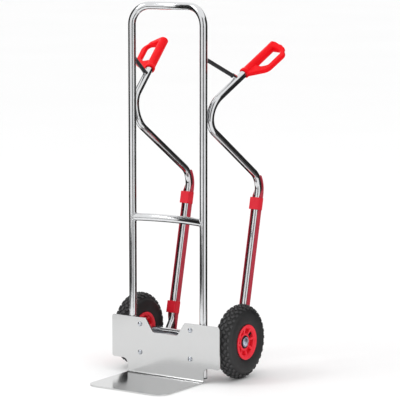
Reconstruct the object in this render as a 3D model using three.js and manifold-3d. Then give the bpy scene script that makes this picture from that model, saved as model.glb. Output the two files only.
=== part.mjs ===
// A two-wheeled hand truck: an aluminium hoop on a folded toe plate, bent handle tubes with guarded
// grips and stair skids behind it, and two pneumatic wheels on one axle.
// Millimetres, X to the right, Y to the back, Z up. While the pieces are made, y = 0 is the front of
// the back plate and z = 0 the floor; the last lines move the whole truck over its own centre.

import * as THREE from 'three';
import { mergeVertices } from 'three/addons/utils/BufferGeometryUtils.js';
import Module from 'manifold-3d';

const wasm = await Module();
wasm.setup();

// ---------------------------------------------------------------- driving dimensions

const TOUCH = 0.3;                 // gap between pieces that touch
const PLAY = 0.1;                  // radial play of the wheel on its axle

// Tubes of the frame
const HEIGHT = 1300;               // floor to the top of the hoop
const TRACK_OF_TUBES = 296;        // between the centre lines of the two uprights
const TUBE_DIAMETER = 27;
const TUBE_WALL = 2;
const HOOP_BEND = 66;              // radius of the hoop's corners
const HOOP_FOOT = 18;              // height of the uprights' lower ends
const BOW = 25;                    // how far the top bar and the cross bar curve back
const CROSS_BAR_HEIGHT = 553;

// Toe plate, one folded sheet
const PLATE = 5;                   // sheet thickness
const FOLD_RADIUS = 6;             // inside of the fold
const TOE_WIDTH = 320;
const TOE_DEPTH = 250;             // from the front of the back plate
const TOE_CORNER = 45;
const BACK_WIDTH = 452;
const BACK_HEIGHT = 203.5;
const WING_BOTTOM = 53;            // height of the lower edge of the side wings
const WING_CORNER = 9;
const WING_FILLET = 20;
const NOTCH_FLOOR = 155.5;         // height of the bottom of the notch
const NOTCH_FLOOR_WIDTH = 101;
const NOTCH_TOP_WIDTH = 164;
const NOTCH_CORNER = 8;

// Handle tubes, in the plane of an upright up to the second bend
const REAR_SLOPE = 0.225;          // the rear run leans back by this much per unit of height
const KNEE_DROP = 22;              // from the lower clip down to the corner where the tube turns forwards
const REAR_SWEEP = [210, 80];      // y, z of the corner under the axle, level with the end on the upright
const REAR_TOP_HEIGHT = 667;       // z of the corner between the rear run and the diagonal
const REAR_TOP_DEPTH = 378;        // y of that corner
const ELBOW_HEIGHT = 920;          // z of the corner between the diagonal and the handle
const REAR_BEND = 75;
const HANDLE_END = [233, 334, 1148];   // x, y, z of the end of the right grip

// Struts between the uprights and the handles
const STRUT_DIAMETER = 14;
const STRUT_HEIGHT = 1116;         // where it meets the upright
const STRUT_REACH = 216;           // from the elbow's corner along the handle

// Grips
const GRIP_LENGTH = 162;
const GRIP_WALL = 2.7;
const GRIP_CAP = 5;                // closed end
const COLLAR_WALL = 5;
const COLLAR_LENGTH = 12;
const GUARD_REACH = 76;            // from the tube's axis to the outside of the guard
const GUARD_THICKNESS = 16;
const GUARD_STRAP = 19;
const GUARD_TOP = 26;              // width of the guard's upper arm
const GUARD_SHOULDER = 125;        // from the closed end to the corner where the guard turns in
const WINDOW_END = 122;            // from the closed end to the far side of the finger window
const GUARD_DROOP = 0.1;           // the guard falls by this much per unit outwards

// Skids and their clips
const SKID_WALL = 2.4;
const SKID_CHEEK = 10;             // how far the side walls reach past the tube's axis
const SKID_FOOT_HEIGHT = 100;
const SKID_TAPER = 70;             // length of the slope at its foot
const SKID_TURN = 42;              // degrees of the bend that it follows
const SKID_TIP = 6;                // straight end past the bend
const SKID_TONGUE = 4;             // how far behind the tube's axis its cheeks end on the bend
const CLIP_LENGTH = 43;
const CLIP_WALL = 2.4;
const CLIP_FRONT = 8;              // thickness of its front
const CLIP_CHEEK = 9;              // how far a clip reaches behind the tube's axis
const CLIP_HEIGHTS = { upper: 580, lower: 192 };

// Wheels and axle
const WHEEL_DIAMETER = 260;
const WHEEL_TRACK = 430;           // between the middles of the two tyres
const AXLE_DEPTH = 144.5;          // y of the axle
const TYRE_WIDTH = 68;
const TYRE_BELLY = 96;             // radius where the tyre is widest
const TYRE_TREAD_WALL = 9;
const TYRE_SIDE_WALL = 4.5;
const BEAD_REACH = 60;             // height of the lower half of the tyre's oval
const BEAD_ANGLE = 35;             // degrees below the belly where the bead ends
const RIM_RADIUS = 61;
const RIM_LIP = 32;              // half the width over the rim's lips
const BARREL_RADIUS = 54;
const POCKETS = 8;
const POCKET_INNER = 28;
const POCKET_OUTER = 48;
const POCKET_FLOOR = 8;            // from the joint of the rim halves
const RIB = 6;
const POCKET_START = 31;           // degrees, the middle of the pocket with the valve
const HUB_LENGTH = 42;
const HUB_RADIUS = 25;
const AXLE_DIAMETER = 16;
const BEARING_DIAMETER = 26;
const BEARING_LENGTH = 15;
const WASHER_DIAMETER = 30;
const WASHER = 2;
const HUB_CAP_DIAMETER = 35;
const HUB_CAP = 4;
const RIVET_DIAMETER = 6;
const VALVE_DIAMETER = 8;
const TUBE_SKIN = 2;               // wall of the inner tube

// Axle brackets and their bolts
const BRACKET = 4;                 // sheet thickness
const BRACKET_OUTER = 126;         // x of its web's outer face
const BRACKET_FLANGE = 42;
const BRACKET_HEIGHT = 130;
const BOLT_DIAMETER = 8;
const BOLT_X = 105.5;
const BOLT_SPACING = 100;
const BOLT_HEAD = 17;
const NUT = 6.5;
const NUT_FLATS = 13;

// Fineness of the round surfaces
const TUBE_SIDES = 14;
const WHEEL_SIDES = 32;
const RING_SIDES = 20;
const AXLE_SIDES = 16;
const SMALL_SIDES = 12;
const BEND_STEP = THREE.MathUtils.degToRad(15);

// ---------------------------------------------------------------- derived places

const TUBE_R = TUBE_DIAMETER / 2;
const GRIP_R = TUBE_R + GRIP_WALL;
const COLLAR_R = TUBE_R + COLLAR_WALL;
const UPRIGHT_X = TRACK_OF_TUBES / 2;
const UPRIGHT_Y = PLATE + TOUCH + TUBE_R;
const AXLE_HEIGHT = WHEEL_DIAMETER / 2;
const AXLE_R = AXLE_DIAMETER / 2;
const WHEEL_X = WHEEL_TRACK / 2;
const ELBOW_DEPTH = elbowDepth();

const rearCorner = new THREE.Vector3(UPRIGHT_X, REAR_TOP_DEPTH, REAR_TOP_HEIGHT);
const elbow = new THREE.Vector3(UPRIGHT_X, ELBOW_DEPTH, ELBOW_HEIGHT);
const gripEnd = new THREE.Vector3(...HANDLE_END);
const gripAxis = gripEnd.clone().sub(elbow).normalize();
const rearUp = new THREE.Vector3(0, REAR_SLOPE, 1).normalize();

// The elbow's arc just clears the back of the upright.
function elbowDepth() {
  const foremost = UPRIGHT_Y + 2 * TUBE_R + TOUCH;
  const guess = new THREE.Vector3(UPRIGHT_X, foremost - REAR_BEND / 2, ELBOW_HEIGHT);
  const down = new THREE.Vector3(UPRIGHT_X, REAR_TOP_DEPTH, REAR_TOP_HEIGHT).sub(guess).normalize();
  const out = new THREE.Vector3(...HANDLE_END).sub(guess).normalize();
  const halfTurn = (Math.PI - down.angleTo(out)) / 2;
  return foremost - REAR_BEND * (1 / Math.cos(halfTurn) - 1) * down.add(out).normalize().y;
}

// ---------------------------------------------------------------- shape helpers

// A centre line of straight runs and round bends, with stations only where it turns.
class BentLine extends THREE.Curve {
  constructor(corners) {
    super();
    this.stations = [corners[0].at.clone()];
    for (let i = 1; i < corners.length - 1; i++) {
      this.addBend(corners[i - 1].at, corners[i].at, corners[i + 1].at, corners[i].bend);
    }
    this.stations.push(corners.at(-1).at.clone());
  }

  addBend(before, corner, after, radius) {
    const back = before.clone().sub(corner).normalize();
    const on = after.clone().sub(corner).normalize();
    const turn = Math.PI - back.angleTo(on);
    const start = corner.clone().addScaledVector(back, radius * Math.tan(turn / 2));
    const middle = back.clone().add(on).normalize().multiplyScalar(radius / Math.cos(turn / 2)).add(corner);
    const axis = on.clone().cross(back).normalize();
    const steps = Math.max(1, Math.ceil(turn / BEND_STEP));
    for (let k = 0; k <= steps; k++) {
      const spoke = start.clone().sub(middle).applyAxisAngle(axis, (turn * k) / steps);
      this.stations.push(spoke.add(middle));
    }
  }

  get steps() {
    return this.stations.length - 1;
  }

  getPointAt(u, target = new THREE.Vector3()) {
    return target.copy(this.stations[Math.round(u * this.steps)]);
  }

  getPoint(u, target) {
    return this.getPointAt(u, target);
  }

  getTangentAt(u, target = new THREE.Vector3()) {
    const i = Math.round(u * this.steps);
    target.set(0, 0, 0);
    for (const [a, b] of [[i - 1, i], [i, i + 1]]) {
      if (a < 0 || b > this.steps) continue;
      target.add(this.stations[b].clone().sub(this.stations[a]).normalize());
    }
    return target.normalize();
  }
}

function line(...corners) {
  return new BentLine(corners.map(([x, y, z, bend]) => ({ at: new THREE.Vector3(x, y, z), bend })));
}

function arc(radius, from, to, count) {
  const points = [];
  for (let k = 0; k <= count; k++) {
    const angle = from + ((to - from) * k) / count;
    points.push(new THREE.Vector2(radius * Math.cos(angle), radius * Math.sin(angle)));
  }
  return points;
}

function circle(radius, sides) {
  return arc(radius, 0, 2 * Math.PI, sides).slice(0, -1);
}

// The radius of the polygon whose flats lie at this distance, for a hole that has to clear a shaft.
function holeRadius(radius, sides) {
  return radius / Math.cos(Math.PI / sides);
}

// An outline through corners [x, y, radius], each rounded by its radius.
function rounded(corners) {
  const points = [];
  corners.forEach(([x, y, radius = 0], i) => {
    const corner = new THREE.Vector2(x, y);
    if (radius === 0) {
      points.push(corner);
      return;
    }
    const before = new THREE.Vector2(...corners.at(i - 1)).sub(corner).normalize();
    const after = new THREE.Vector2(...corners[(i + 1) % corners.length]).sub(corner).normalize();
    const turn = Math.PI - Math.acos(before.dot(after));
    const middle = before.clone().add(after).normalize().multiplyScalar(radius / Math.cos(turn / 2)).add(corner);
    const start = before.clone().multiplyScalar(radius * Math.tan(turn / 2)).add(corner);
    const side = Math.sign(after.cross(before));
    const steps = Math.max(2, Math.ceil(turn / (1.5 * BEND_STEP)));
    for (let k = 0; k <= steps; k++) {
      points.push(start.clone().rotateAround(middle, (side * turn * k) / steps));
    }
  });
  return points;
}

// A prism of an outline, with holes, standing on z = 0.
function prism(outline, height, holes = []) {
  const shape = new THREE.Shape(outline);
  shape.holes = holes.map((points) => new THREE.Path(points));
  return new THREE.ExtrudeGeometry(shape, { depth: height, bevelEnabled: false });
}

// A prism whose outline is given in x and z, from y = near to y = far.
function prismAlongY(outline, near, far, holes = []) {
  return prism(outline, far - near, holes).rotateX(Math.PI / 2).translate(0, far, 0);
}

// A prism whose outline is given in y and z, from x = near to x = far.
function prismAlongX(outline, near, far, holes = []) {
  const turn = new THREE.Matrix4().makeBasis(
    new THREE.Vector3(0, 1, 0), new THREE.Vector3(0, 0, 1), new THREE.Vector3(1, 0, 0));
  return prism(outline, far - near, holes).applyMatrix4(turn).translate(near, 0, 0);
}

function sweep(outline, path, holes = []) {
  const shape = new THREE.Shape(outline);
  shape.holes = holes.map((points) => new THREE.Path(points));
  return new THREE.ExtrudeGeometry(shape, { steps: path.steps, extrudePath: path, bevelEnabled: false });
}

function tube(path, radius, wall) {
  return sweep(circle(radius, TUBE_SIDES), path, [circle(radius - wall, TUBE_SIDES)]);
}

// A round bar from one point to another.
function bar(from, to, radius, sides = SMALL_SIDES) {
  const along = to.clone().sub(from);
  const turn = new THREE.Quaternion().setFromUnitVectors(new THREE.Vector3(0, 1, 0), along.clone().normalize());
  const middle = from.clone().add(to).multiplyScalar(0.5);
  return new THREE.CylinderGeometry(radius, radius, along.length(), sides)
    .applyQuaternion(turn)
    .translate(middle.x, middle.y, middle.z);
}

// A turned piece on the X axis, from a profile of [radius, x] that runs towards +X on the outside.
function turned(profile, sides = SMALL_SIDES) {
  const points = profile.map(([radius, x]) => new THREE.Vector2(radius, x));
  return new THREE.LatheGeometry(points, sides).rotateZ(-Math.PI / 2);
}

function ring(inner, outer, from, to, sides = SMALL_SIDES) {
  return turned([[inner, from], [outer, from], [outer, to], [inner, to], [inner, from]], sides);
}

function toSolid(geometry) {
  const bare = geometry.clone();
  bare.deleteAttribute('normal');
  bare.deleteAttribute('uv');
  const merged = mergeVertices(bare, 1e-4);
  return new wasm.Manifold(new wasm.Mesh({
    numProp: 3,
    vertProperties: new Float32Array(merged.attributes.position.array),
    triVerts: new Uint32Array(merged.index.array),
  }));
}

function toGeometry(solid) {
  const mesh = solid.getMesh();
  const geometry = new THREE.BufferGeometry();
  geometry.setAttribute('position', new THREE.BufferAttribute(mesh.vertProperties, 3));
  geometry.setIndex(new THREE.BufferAttribute(mesh.triVerts, 1));
  return geometry;
}

function cut(geometry, ...tools) {
  return toGeometry(tools.reduce((solid, tool) => solid.subtract(toSolid(tool)), toSolid(geometry)));
}

function join(...geometries) {
  return toGeometry(geometries.map(toSolid).reduce((all, next) => all.add(next)));
}

function common(...geometries) {
  return toGeometry(geometries.map(toSolid).reduce((all, next) => all.intersect(next)));
}

// The left-hand copy of a right-hand piece, with its faces turned back outwards.
function mirrored(geometry) {
  const bare = geometry.clone();
  bare.deleteAttribute('normal');
  bare.deleteAttribute('uv');
  const copy = mergeVertices(bare, 1e-4).applyMatrix4(new THREE.Matrix4().makeScale(-1, 1, 1));
  const index = copy.index.array;
  for (let i = 0; i < index.length; i += 3) [index[i], index[i + 1]] = [index[i + 1], index[i]];
  return copy;
}

// ---------------------------------------------------------------- materials

function finish(color, roughness, metalness) {
  return new THREE.MeshStandardMaterial({ color, roughness, metalness });
}

const aluminium = finish(0xd2d3d5, 0.22, 1);
const sheetAluminium = finish(0xc9c9ca, 0.35, 1);
const zincSteel = finish(0xb9bfc8, 0.3, 1);
const darkSteel = finish(0x3c3c3e, 0.5, 0.6);
const gripRed = finish(0xdf1c2a, 0.3, 0);
const skidRed = finish(0xa92638, 0.42, 0);
const rimRed = finish(0xe0202e, 0.35, 0);
const tyreRubber = finish(0x3a3a3b, 0.8, 0);
const blackRubber = finish(0x1c1c1d, 0.65, 0);
const blackPlastic = finish(0x202022, 0.5, 0);

const truck = new THREE.Group();

function add(name, geometry, material) {
  const mesh = new THREE.Mesh(geometry, material);
  mesh.name = name;
  truck.add(mesh);
}

function addPair(name, geometry, material) {
  add(`right_${name}`, geometry, material);
  add(`left_${name}`, mirrored(geometry), material);
}

// ---------------------------------------------------------------- toe plate

function toePlate() {
  const bend = FOLD_RADIUS + PLATE;
  const section = [
    new THREE.Vector2(-TOE_DEPTH, 0),
    ...arc(bend, -Math.PI / 2, 0, 5).map((p) => p.add(new THREE.Vector2(-FOLD_RADIUS, bend))),
    new THREE.Vector2(PLATE, BACK_HEIGHT),
    new THREE.Vector2(0, BACK_HEIGHT),
    ...arc(FOLD_RADIUS, 0, -Math.PI / 2, 5).map((p) => p.add(new THREE.Vector2(-FOLD_RADIUS, bend))),
    new THREE.Vector2(-TOE_DEPTH, PLATE),
  ];
  const half = BACK_WIDTH / 2;
  const folded = prismAlongX(section, -half, half);
  const front = prismAlongY(plateFront(), -TOE_DEPTH - 1, PLATE + 1);
  const plan = prism(platePlan(), BACK_HEIGHT + 2).translate(0, 0, -1);
  const holes = boltPlaces().map(([x, z]) => boltHole(x, z));
  return cut(common(folded, front, plan), ...holes);
}

// The plate seen from the front: toe width at the fold, wings above it, a notch in the top edge.
function plateFront() {
  const right = [
    [TOE_WIDTH / 2, -1],
    [TOE_WIDTH / 2, WING_BOTTOM, WING_FILLET],
    [BACK_WIDTH / 2, WING_BOTTOM, WING_CORNER],
    [BACK_WIDTH / 2, BACK_HEIGHT, WING_CORNER],
    [NOTCH_TOP_WIDTH / 2, BACK_HEIGHT, NOTCH_CORNER],
    [NOTCH_FLOOR_WIDTH / 2, NOTCH_FLOOR, NOTCH_CORNER],
  ];
  const left = right.map(([x, z, radius]) => [-x, z, radius]).reverse();
  return rounded([...right, ...left]);
}

// The plate seen from above: round front corners, and room for the wings at the back.
function platePlan() {
  const wide = BACK_WIDTH / 2 + 1;
  const toe = TOE_WIDTH / 2;
  return rounded([
    [-toe, -TOE_DEPTH, TOE_CORNER], [toe, -TOE_DEPTH, TOE_CORNER], [toe, -PLATE], [wide, -PLATE],
    [wide, PLATE + 1], [-wide, PLATE + 1], [-wide, -PLATE], [-toe, -PLATE],
  ]);
}

function boltPlaces() {
  const places = [];
  for (const x of [BOLT_X, -BOLT_X]) {
    for (const z of [AXLE_HEIGHT + BOLT_SPACING / 2, AXLE_HEIGHT - BOLT_SPACING / 2]) places.push([x, z]);
  }
  return places;
}

function boltHole(x, z) {
  const radius = holeRadius(BOLT_DIAMETER / 2 + TOUCH, SMALL_SIDES);
  return bar(new THREE.Vector3(x, -PLATE, z), new THREE.Vector3(x, 3 * PLATE, z), radius);
}

add('toe_plate', toePlate(), sheetAluminium);

// ---------------------------------------------------------------- hoop and cross bar

// How far back the corner of a bow lies for the bar itself to reach BOW.
function bowCorner(halfSpan, bentPart) {
  return BOW / (1 - bentPart / (2 * halfSpan));
}

function bowRadius(halfSpan, bentPart) {
  return bentPart * (halfSpan / bowCorner(halfSpan, bentPart));
}

function mainHoop() {
  const top = HEIGHT - TUBE_R;
  const bentPart = UPRIGHT_X - HOOP_BEND - 4;
  const path = line(
    [UPRIGHT_X, UPRIGHT_Y, HOOP_FOOT],
    [UPRIGHT_X, UPRIGHT_Y, top, HOOP_BEND],
    [0, UPRIGHT_Y + bowCorner(UPRIGHT_X, bentPart), top, bowRadius(UPRIGHT_X, bentPart)],
    [-UPRIGHT_X, UPRIGHT_Y, top, HOOP_BEND],
    [-UPRIGHT_X, UPRIGHT_Y, HOOP_FOOT],
  );
  return tube(path, TUBE_R, TUBE_WALL);
}

// A solid bar that a piece welded to an upright is trimmed by.
function uprightEnvelope(side) {
  const x = side * UPRIGHT_X;
  return bar(new THREE.Vector3(x, UPRIGHT_Y, 0), new THREE.Vector3(x, UPRIGHT_Y, HEIGHT - HOOP_BEND),
    holeRadius(TUBE_R + TOUCH, 2 * TUBE_SIDES), 2 * TUBE_SIDES);
}

function crossBar() {
  const bentPart = UPRIGHT_X - 2 * TUBE_R;
  const path = line(
    [-UPRIGHT_X, UPRIGHT_Y, CROSS_BAR_HEIGHT],
    [0, UPRIGHT_Y + bowCorner(UPRIGHT_X, bentPart), CROSS_BAR_HEIGHT, bowRadius(UPRIGHT_X, bentPart)],
    [UPRIGHT_X, UPRIGHT_Y, CROSS_BAR_HEIGHT],
  );
  return cut(tube(path, TUBE_R, TUBE_WALL), uprightEnvelope(1), uprightEnvelope(-1));
}

// A push-in plug that closes the foot of an upright.
function footPlug() {
  const rim = HOOP_FOOT - TOUCH;
  const stem = TUBE_R - TUBE_WALL - 2 * TOUCH;
  const profile = [[0, rim - 4], [TUBE_R, rim - 4], [TUBE_R, rim], [stem, rim], [stem, rim + 22], [0, rim + 22]];
  return turned(profile).rotateY(-Math.PI / 2).translate(UPRIGHT_X, UPRIGHT_Y, 0);
}

add('main_hoop', mainHoop(), aluminium);
add('cross_bar', crossBar(), aluminium);
addPair('foot_plug', footPlug(), blackPlastic);

// ---------------------------------------------------------------- handle tubes and struts

function handleTube() {
  const end = gripEnd.clone().addScaledVector(gripAxis, -GRIP_CAP - TOUCH);
  const path = line(
    [UPRIGHT_X, UPRIGHT_Y, REAR_SWEEP[1]],
    [UPRIGHT_X, ...REAR_SWEEP, REAR_BEND],
    [UPRIGHT_X, ...rearAt(CLIP_HEIGHTS.lower - CLIP_LENGTH / 2 - KNEE_DROP), REAR_BEND],
    [...rearCorner, REAR_BEND],
    [...elbow, REAR_BEND],
    [...end],
  );
  return cut(tube(path, TUBE_R, TUBE_WALL), uprightEnvelope(1));
}

// y and z of the rear run's centre line at a height.
function rearAt(height) {
  return [REAR_TOP_DEPTH - REAR_SLOPE * (REAR_TOP_HEIGHT - height), height];
}

function strut() {
  const upper = new THREE.Vector3(UPRIGHT_X, UPRIGHT_Y, STRUT_HEIGHT);
  const lower = elbow.clone().addScaledVector(gripAxis, STRUT_REACH);
  const handle = bar(elbow, gripEnd, holeRadius(TUBE_R + TOUCH, 2 * TUBE_SIDES), 2 * TUBE_SIDES);
  return cut(bar(upper, lower, STRUT_DIAMETER / 2, 12), uprightEnvelope(1), handle);
}

addPair('handle_tube', handleTube(), aluminium);
addPair('strut', strut(), darkSteel);

// ---------------------------------------------------------------- grips

// Grip frame: x outwards to the guard, z along the tube, zero at the grip's closed end.
function gripFrame() {
  const out = new THREE.Vector3(1, 0, -GUARD_DROOP);
  out.addScaledVector(gripAxis, -out.dot(gripAxis)).normalize();
  const across = gripAxis.clone().cross(out);
  return new THREE.Matrix4().makeBasis(out, across, gripAxis).setPosition(gripEnd);
}

function grip() {
  const axis = (z) => new THREE.Vector3(0, 0, z);
  const barrel = bar(axis(-GRIP_LENGTH), axis(0), GRIP_R, TUBE_SIDES);
  const collar = bar(axis(-GRIP_LENGTH - COLLAR_LENGTH), axis(-GRIP_LENGTH), COLLAR_R, TUBE_SIDES);
  const inner = GUARD_REACH - GUARD_STRAP;
  const foot = -GRIP_LENGTH - COLLAR_LENGTH;
  const outline = rounded([
    [0, foot], [0, 0], [GUARD_REACH, 0, 34], [GUARD_REACH, -GUARD_SHOULDER, 36],
    [COLLAR_R + 2, foot, 8],
  ].reverse());
  const window = rounded([
    [0, -GUARD_TOP], [inner, -GUARD_TOP, 14], [inner, -WINDOW_END + 14, 14], [inner - 18, -WINDOW_END, 8],
    [0, -WINDOW_END],
  ].reverse());
  const guard = prismAlongY(outline, -GUARD_THICKNESS / 2, GUARD_THICKNESS / 2);
  const opening = prismAlongY(window, -GUARD_THICKNESS, GUARD_THICKNESS);
  const bore = bar(axis(-GRIP_LENGTH - 2 * COLLAR_LENGTH), axis(-GRIP_CAP),
    holeRadius(TUBE_R + TOUCH, TUBE_SIDES), TUBE_SIDES);
  return cut(join(cut(guard, opening), barrel, collar), bore).applyMatrix4(gripFrame());
}

addPair('grip', grip(), gripRed);

// ---------------------------------------------------------------- skids and clips

const SKID_INNER = TUBE_R + TOUCH;
const SKID_OUTER = SKID_INNER + SKID_WALL;

// Section of a channel behind the tube: x across, y forwards, zero on the tube's axis.
function skidSection() {
  const inside = arc(holeRadius(SKID_INNER, TUBE_SIDES), 0, -Math.PI, TUBE_SIDES / 2);
  return [
    ...rounded([
      [-SKID_OUTER, SKID_CHEEK], [-SKID_OUTER, -SKID_OUTER, 9], [SKID_OUTER, -SKID_OUTER, 9],
      [SKID_OUTER, SKID_CHEEK],
    ]),
    new THREE.Vector2(inside[0].x, SKID_CHEEK),
    ...inside,
    new THREE.Vector2(inside.at(-1).x, SKID_CHEEK),
  ];
}

function skid() {
  const foot = [UPRIGHT_X, ...rearAt(SKID_FOOT_HEIGHT)];
  const away = new THREE.Vector3(...elbow).sub(rearCorner).normalize();
  const turn = rearUp.angleTo(away);
  const start = rearCorner.clone().addScaledVector(rearUp, -REAR_BEND * Math.tan(turn / 2));
  const part = THREE.MathUtils.degToRad(SKID_TURN);
  const leg = REAR_BEND * Math.tan(part / 2);
  const corner = start.clone().addScaledVector(rearUp, leg);
  const heading = rearUp.clone().applyAxisAngle(new THREE.Vector3(1, 0, 0), part);
  const top = corner.clone().addScaledVector(heading, leg + SKID_TIP);
  const channel = sweep(skidSection(), line(foot, [...corner, REAR_BEND], [...top]));
  return cut(channel, skidFootSlope(), skidTongueSlope(start));
}

// What the cheeks lose above the upper clip, so that only the back follows the bend.
function skidTongueSlope(bendStart) {
  const lean = Math.atan(REAR_SLOPE);
  const middle = new THREE.Vector2(bendStart.y, bendStart.z)
    .add(new THREE.Vector2(-Math.cos(lean), Math.sin(lean)).multiplyScalar(REAR_BEND));
  const clipTop = CLIP_HEIGHTS.upper + CLIP_LENGTH / 2 + 4;
  const cheek = new THREE.Vector2(...rearAt(clipTop)).add(new THREE.Vector2(-SKID_CHEEK - 2, 0));
  const first = THREE.MathUtils.degToRad(14) - lean;
  const last = THREE.MathUtils.degToRad(SKID_TURN + 12) - lean;
  const edge = arc(REAR_BEND + SKID_TONGUE, first, last, 5).map((point) => point.add(middle));
  const far = new THREE.Vector2(-REAR_BEND, 0);
  return prismAlongX([cheek, ...edge, edge.at(-1).clone().add(far), cheek.clone().add(far)],
    UPRIGHT_X - 2 * SKID_OUTER, UPRIGHT_X + 2 * SKID_OUTER);
}

// The wedge that tapers the foot of a skid from the front.
function skidFootSlope() {
  const [y, z] = rearAt(SKID_FOOT_HEIGHT);
  const [upperY] = rearAt(SKID_FOOT_HEIGHT + SKID_TAPER);
  const wedge = [
    new THREE.Vector2(y - 3 * SKID_OUTER, z - 1),
    new THREE.Vector2(y + SKID_OUTER / 2, z - 1),
    new THREE.Vector2(upperY - SKID_CHEEK, z + SKID_TAPER),
    new THREE.Vector2(upperY - 3 * SKID_OUTER, z + SKID_TAPER),
  ];
  return prismAlongX(wedge, UPRIGHT_X - 2 * SKID_OUTER, UPRIGHT_X + 2 * SKID_OUTER);
}

// Section of a clip round the front of the tube and over the skid's cheeks.
function clipSection() {
  const near = SKID_OUTER + TOUCH;
  const front = TUBE_R + 2 * TOUCH;
  const outside = near + CLIP_WALL;
  return rounded([
    [-outside, -CLIP_CHEEK], [-near, -CLIP_CHEEK], [-near, front, 3], [near, front, 3], [near, -CLIP_CHEEK],
    [outside, -CLIP_CHEEK], [outside, front + CLIP_FRONT, 4], [-outside, front + CLIP_FRONT, 4],
  ]);
}

function clip(height) {
  const middle = new THREE.Vector3(UPRIGHT_X, ...rearAt(height));
  const from = middle.clone().addScaledVector(rearUp, -CLIP_LENGTH / 2);
  const to = middle.clone().addScaledVector(rearUp, CLIP_LENGTH / 2);
  return sweep(clipSection(), line([...from], [...to]));
}

addPair('skid', skid(), skidRed);
for (const [place, height] of Object.entries(CLIP_HEIGHTS)) addPair(`${place}_clip`, clip(height), gripRed);

// ---------------------------------------------------------------- axle, brackets and bolts

const HUB_END = HUB_LENGTH / 2;
const INNER_WASHER = HUB_END + TOUCH + WASHER;     // its far side, from the middle of the wheel
const AXLE_TUBE_END = WHEEL_X - INNER_WASHER - TOUCH;
const CAP_START = HUB_END + 2 * TOUCH + WASHER;
const AXLE_END = WHEEL_X + CAP_START + HUB_CAP / 2;

function onAxle(geometry) {
  return geometry.translate(0, AXLE_DEPTH, AXLE_HEIGHT);
}

function axle() {
  return onAxle(turned([[0, -AXLE_END], [AXLE_R, -AXLE_END], [AXLE_R, AXLE_END], [0, AXLE_END]], AXLE_SIDES));
}

function axleTube() {
  return onAxle(ring(TUBE_R - TUBE_WALL, TUBE_R, -AXLE_TUBE_END, AXLE_TUBE_END, TUBE_SIDES));
}

// A folded bracket: a flange bolted behind the plate, and a web that carries the axle tube.
function axleBracket() {
  const back = PLATE + TOUCH;
  const low = AXLE_HEIGHT - BRACKET_HEIGHT / 2;
  const high = AXLE_HEIGHT + BRACKET_HEIGHT / 2;
  const eye = TUBE_R + BRACKET;
  const web = rounded([
    [back, low], [AXLE_DEPTH + eye, AXLE_HEIGHT - eye, eye - 1], [AXLE_DEPTH + eye, AXLE_HEIGHT + eye, eye - 1],
    [back + BRACKET_HEIGHT / 2, AXLE_HEIGHT + eye, 30], [back + BRACKET_HEIGHT / 8, high, 8], [back, high],
  ]);
  const eyeHole = bar(new THREE.Vector3(0, AXLE_DEPTH, AXLE_HEIGHT),
    new THREE.Vector3(2 * BRACKET_OUTER, AXLE_DEPTH, AXLE_HEIGHT),
    holeRadius(TUBE_R + TOUCH, TUBE_SIDES), TUBE_SIDES);
  const flange = new THREE.BoxGeometry(BRACKET_FLANGE, BRACKET, BRACKET_HEIGHT)
    .translate(BRACKET_OUTER - BRACKET_FLANGE / 2, back + BRACKET / 2, AXLE_HEIGHT);
  const folded = join(prismAlongX(web, BRACKET_OUTER - BRACKET, BRACKET_OUTER), flange);
  const holes = boltPlaces().filter(([x]) => x > 0).map(([x, z]) => boltHole(x, z));
  return cut(folded, eyeHole, ...holes);
}

// A round-headed bolt through the plate and a bracket, its head in front.
function panelBolt(x, z) {
  const head = BOLT_HEAD / 2;
  const shank = BOLT_DIAMETER / 2;
  const end = PLATE + BRACKET + NUT + 3;
  const profile = [
    [0, -TOUCH - 4.5], [0.6 * head, -TOUCH - 4], [0.9 * head, -TOUCH - 2.4], [head, -TOUCH],
    [shank, -TOUCH], [shank, end], [0, end],
  ];
  return turned(profile).rotateZ(Math.PI / 2).translate(x, 0, z);
}

function panelNut(x, z) {
  const flats = NUT_FLATS / 2 / Math.cos(Math.PI / 6);
  const start = PLATE + BRACKET + 2 * TOUCH;
  const bore = circle(holeRadius(BOLT_DIAMETER / 2 + TOUCH, SMALL_SIDES), SMALL_SIDES);
  return prismAlongY(circle(flats, 6), start, start + NUT, [bore]).translate(x, 0, z);
}

add('axle', axle(), zincSteel);
add('axle_tube', axleTube(), aluminium);
addPair('axle_bracket', axleBracket(), zincSteel);
boltPlaces().filter(([x]) => x > 0).forEach(([x, z]) => {
  const place = z > AXLE_HEIGHT ? 'upper' : 'lower';
  addPair(`${place}_bolt`, panelBolt(x, z), zincSteel);
  addPair(`${place}_nut`, panelNut(x, z), zincSteel);
});

// ---------------------------------------------------------------- wheels, around the X axis

// A point of the tyre's oval section at an angle from its belly, half a turn being the other side.
function tyrePoint(angle, halfWidth, up, down) {
  const height = Math.sin(angle) > 0 ? up : down;
  return [TYRE_BELLY + height * Math.sin(angle), halfWidth * Math.cos(angle)];
}

function tyre() {
  const up = WHEEL_DIAMETER / 2 - TYRE_BELLY;
  const bead = THREE.MathUtils.degToRad(BEAD_ANGLE);
  const steps = 10;
  const angles = Array.from({ length: steps + 1 }, (_, k) => -bead + ((Math.PI + 2 * bead) * k) / steps);
  const outside = angles.map((a) => tyrePoint(a, TYRE_WIDTH / 2, up, BEAD_REACH)).reverse();
  const inside = angles.map((a) => tyrePoint(a, TYRE_WIDTH / 2 - TYRE_SIDE_WALL, up - TYRE_TREAD_WALL,
    BEAD_REACH - TYRE_SIDE_WALL));
  return turned([...outside, ...inside, outside[0]], WHEEL_SIDES);
}

const INNER_TUBE_TOP = WHEEL_DIAMETER / 2 - TYRE_TREAD_WALL - 3;
const INNER_TUBE_BOTTOM = BARREL_RADIUS + 6;
const VALVE_X = (POCKET_FLOOR + RIM_LIP) / 2 - 3;

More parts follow.
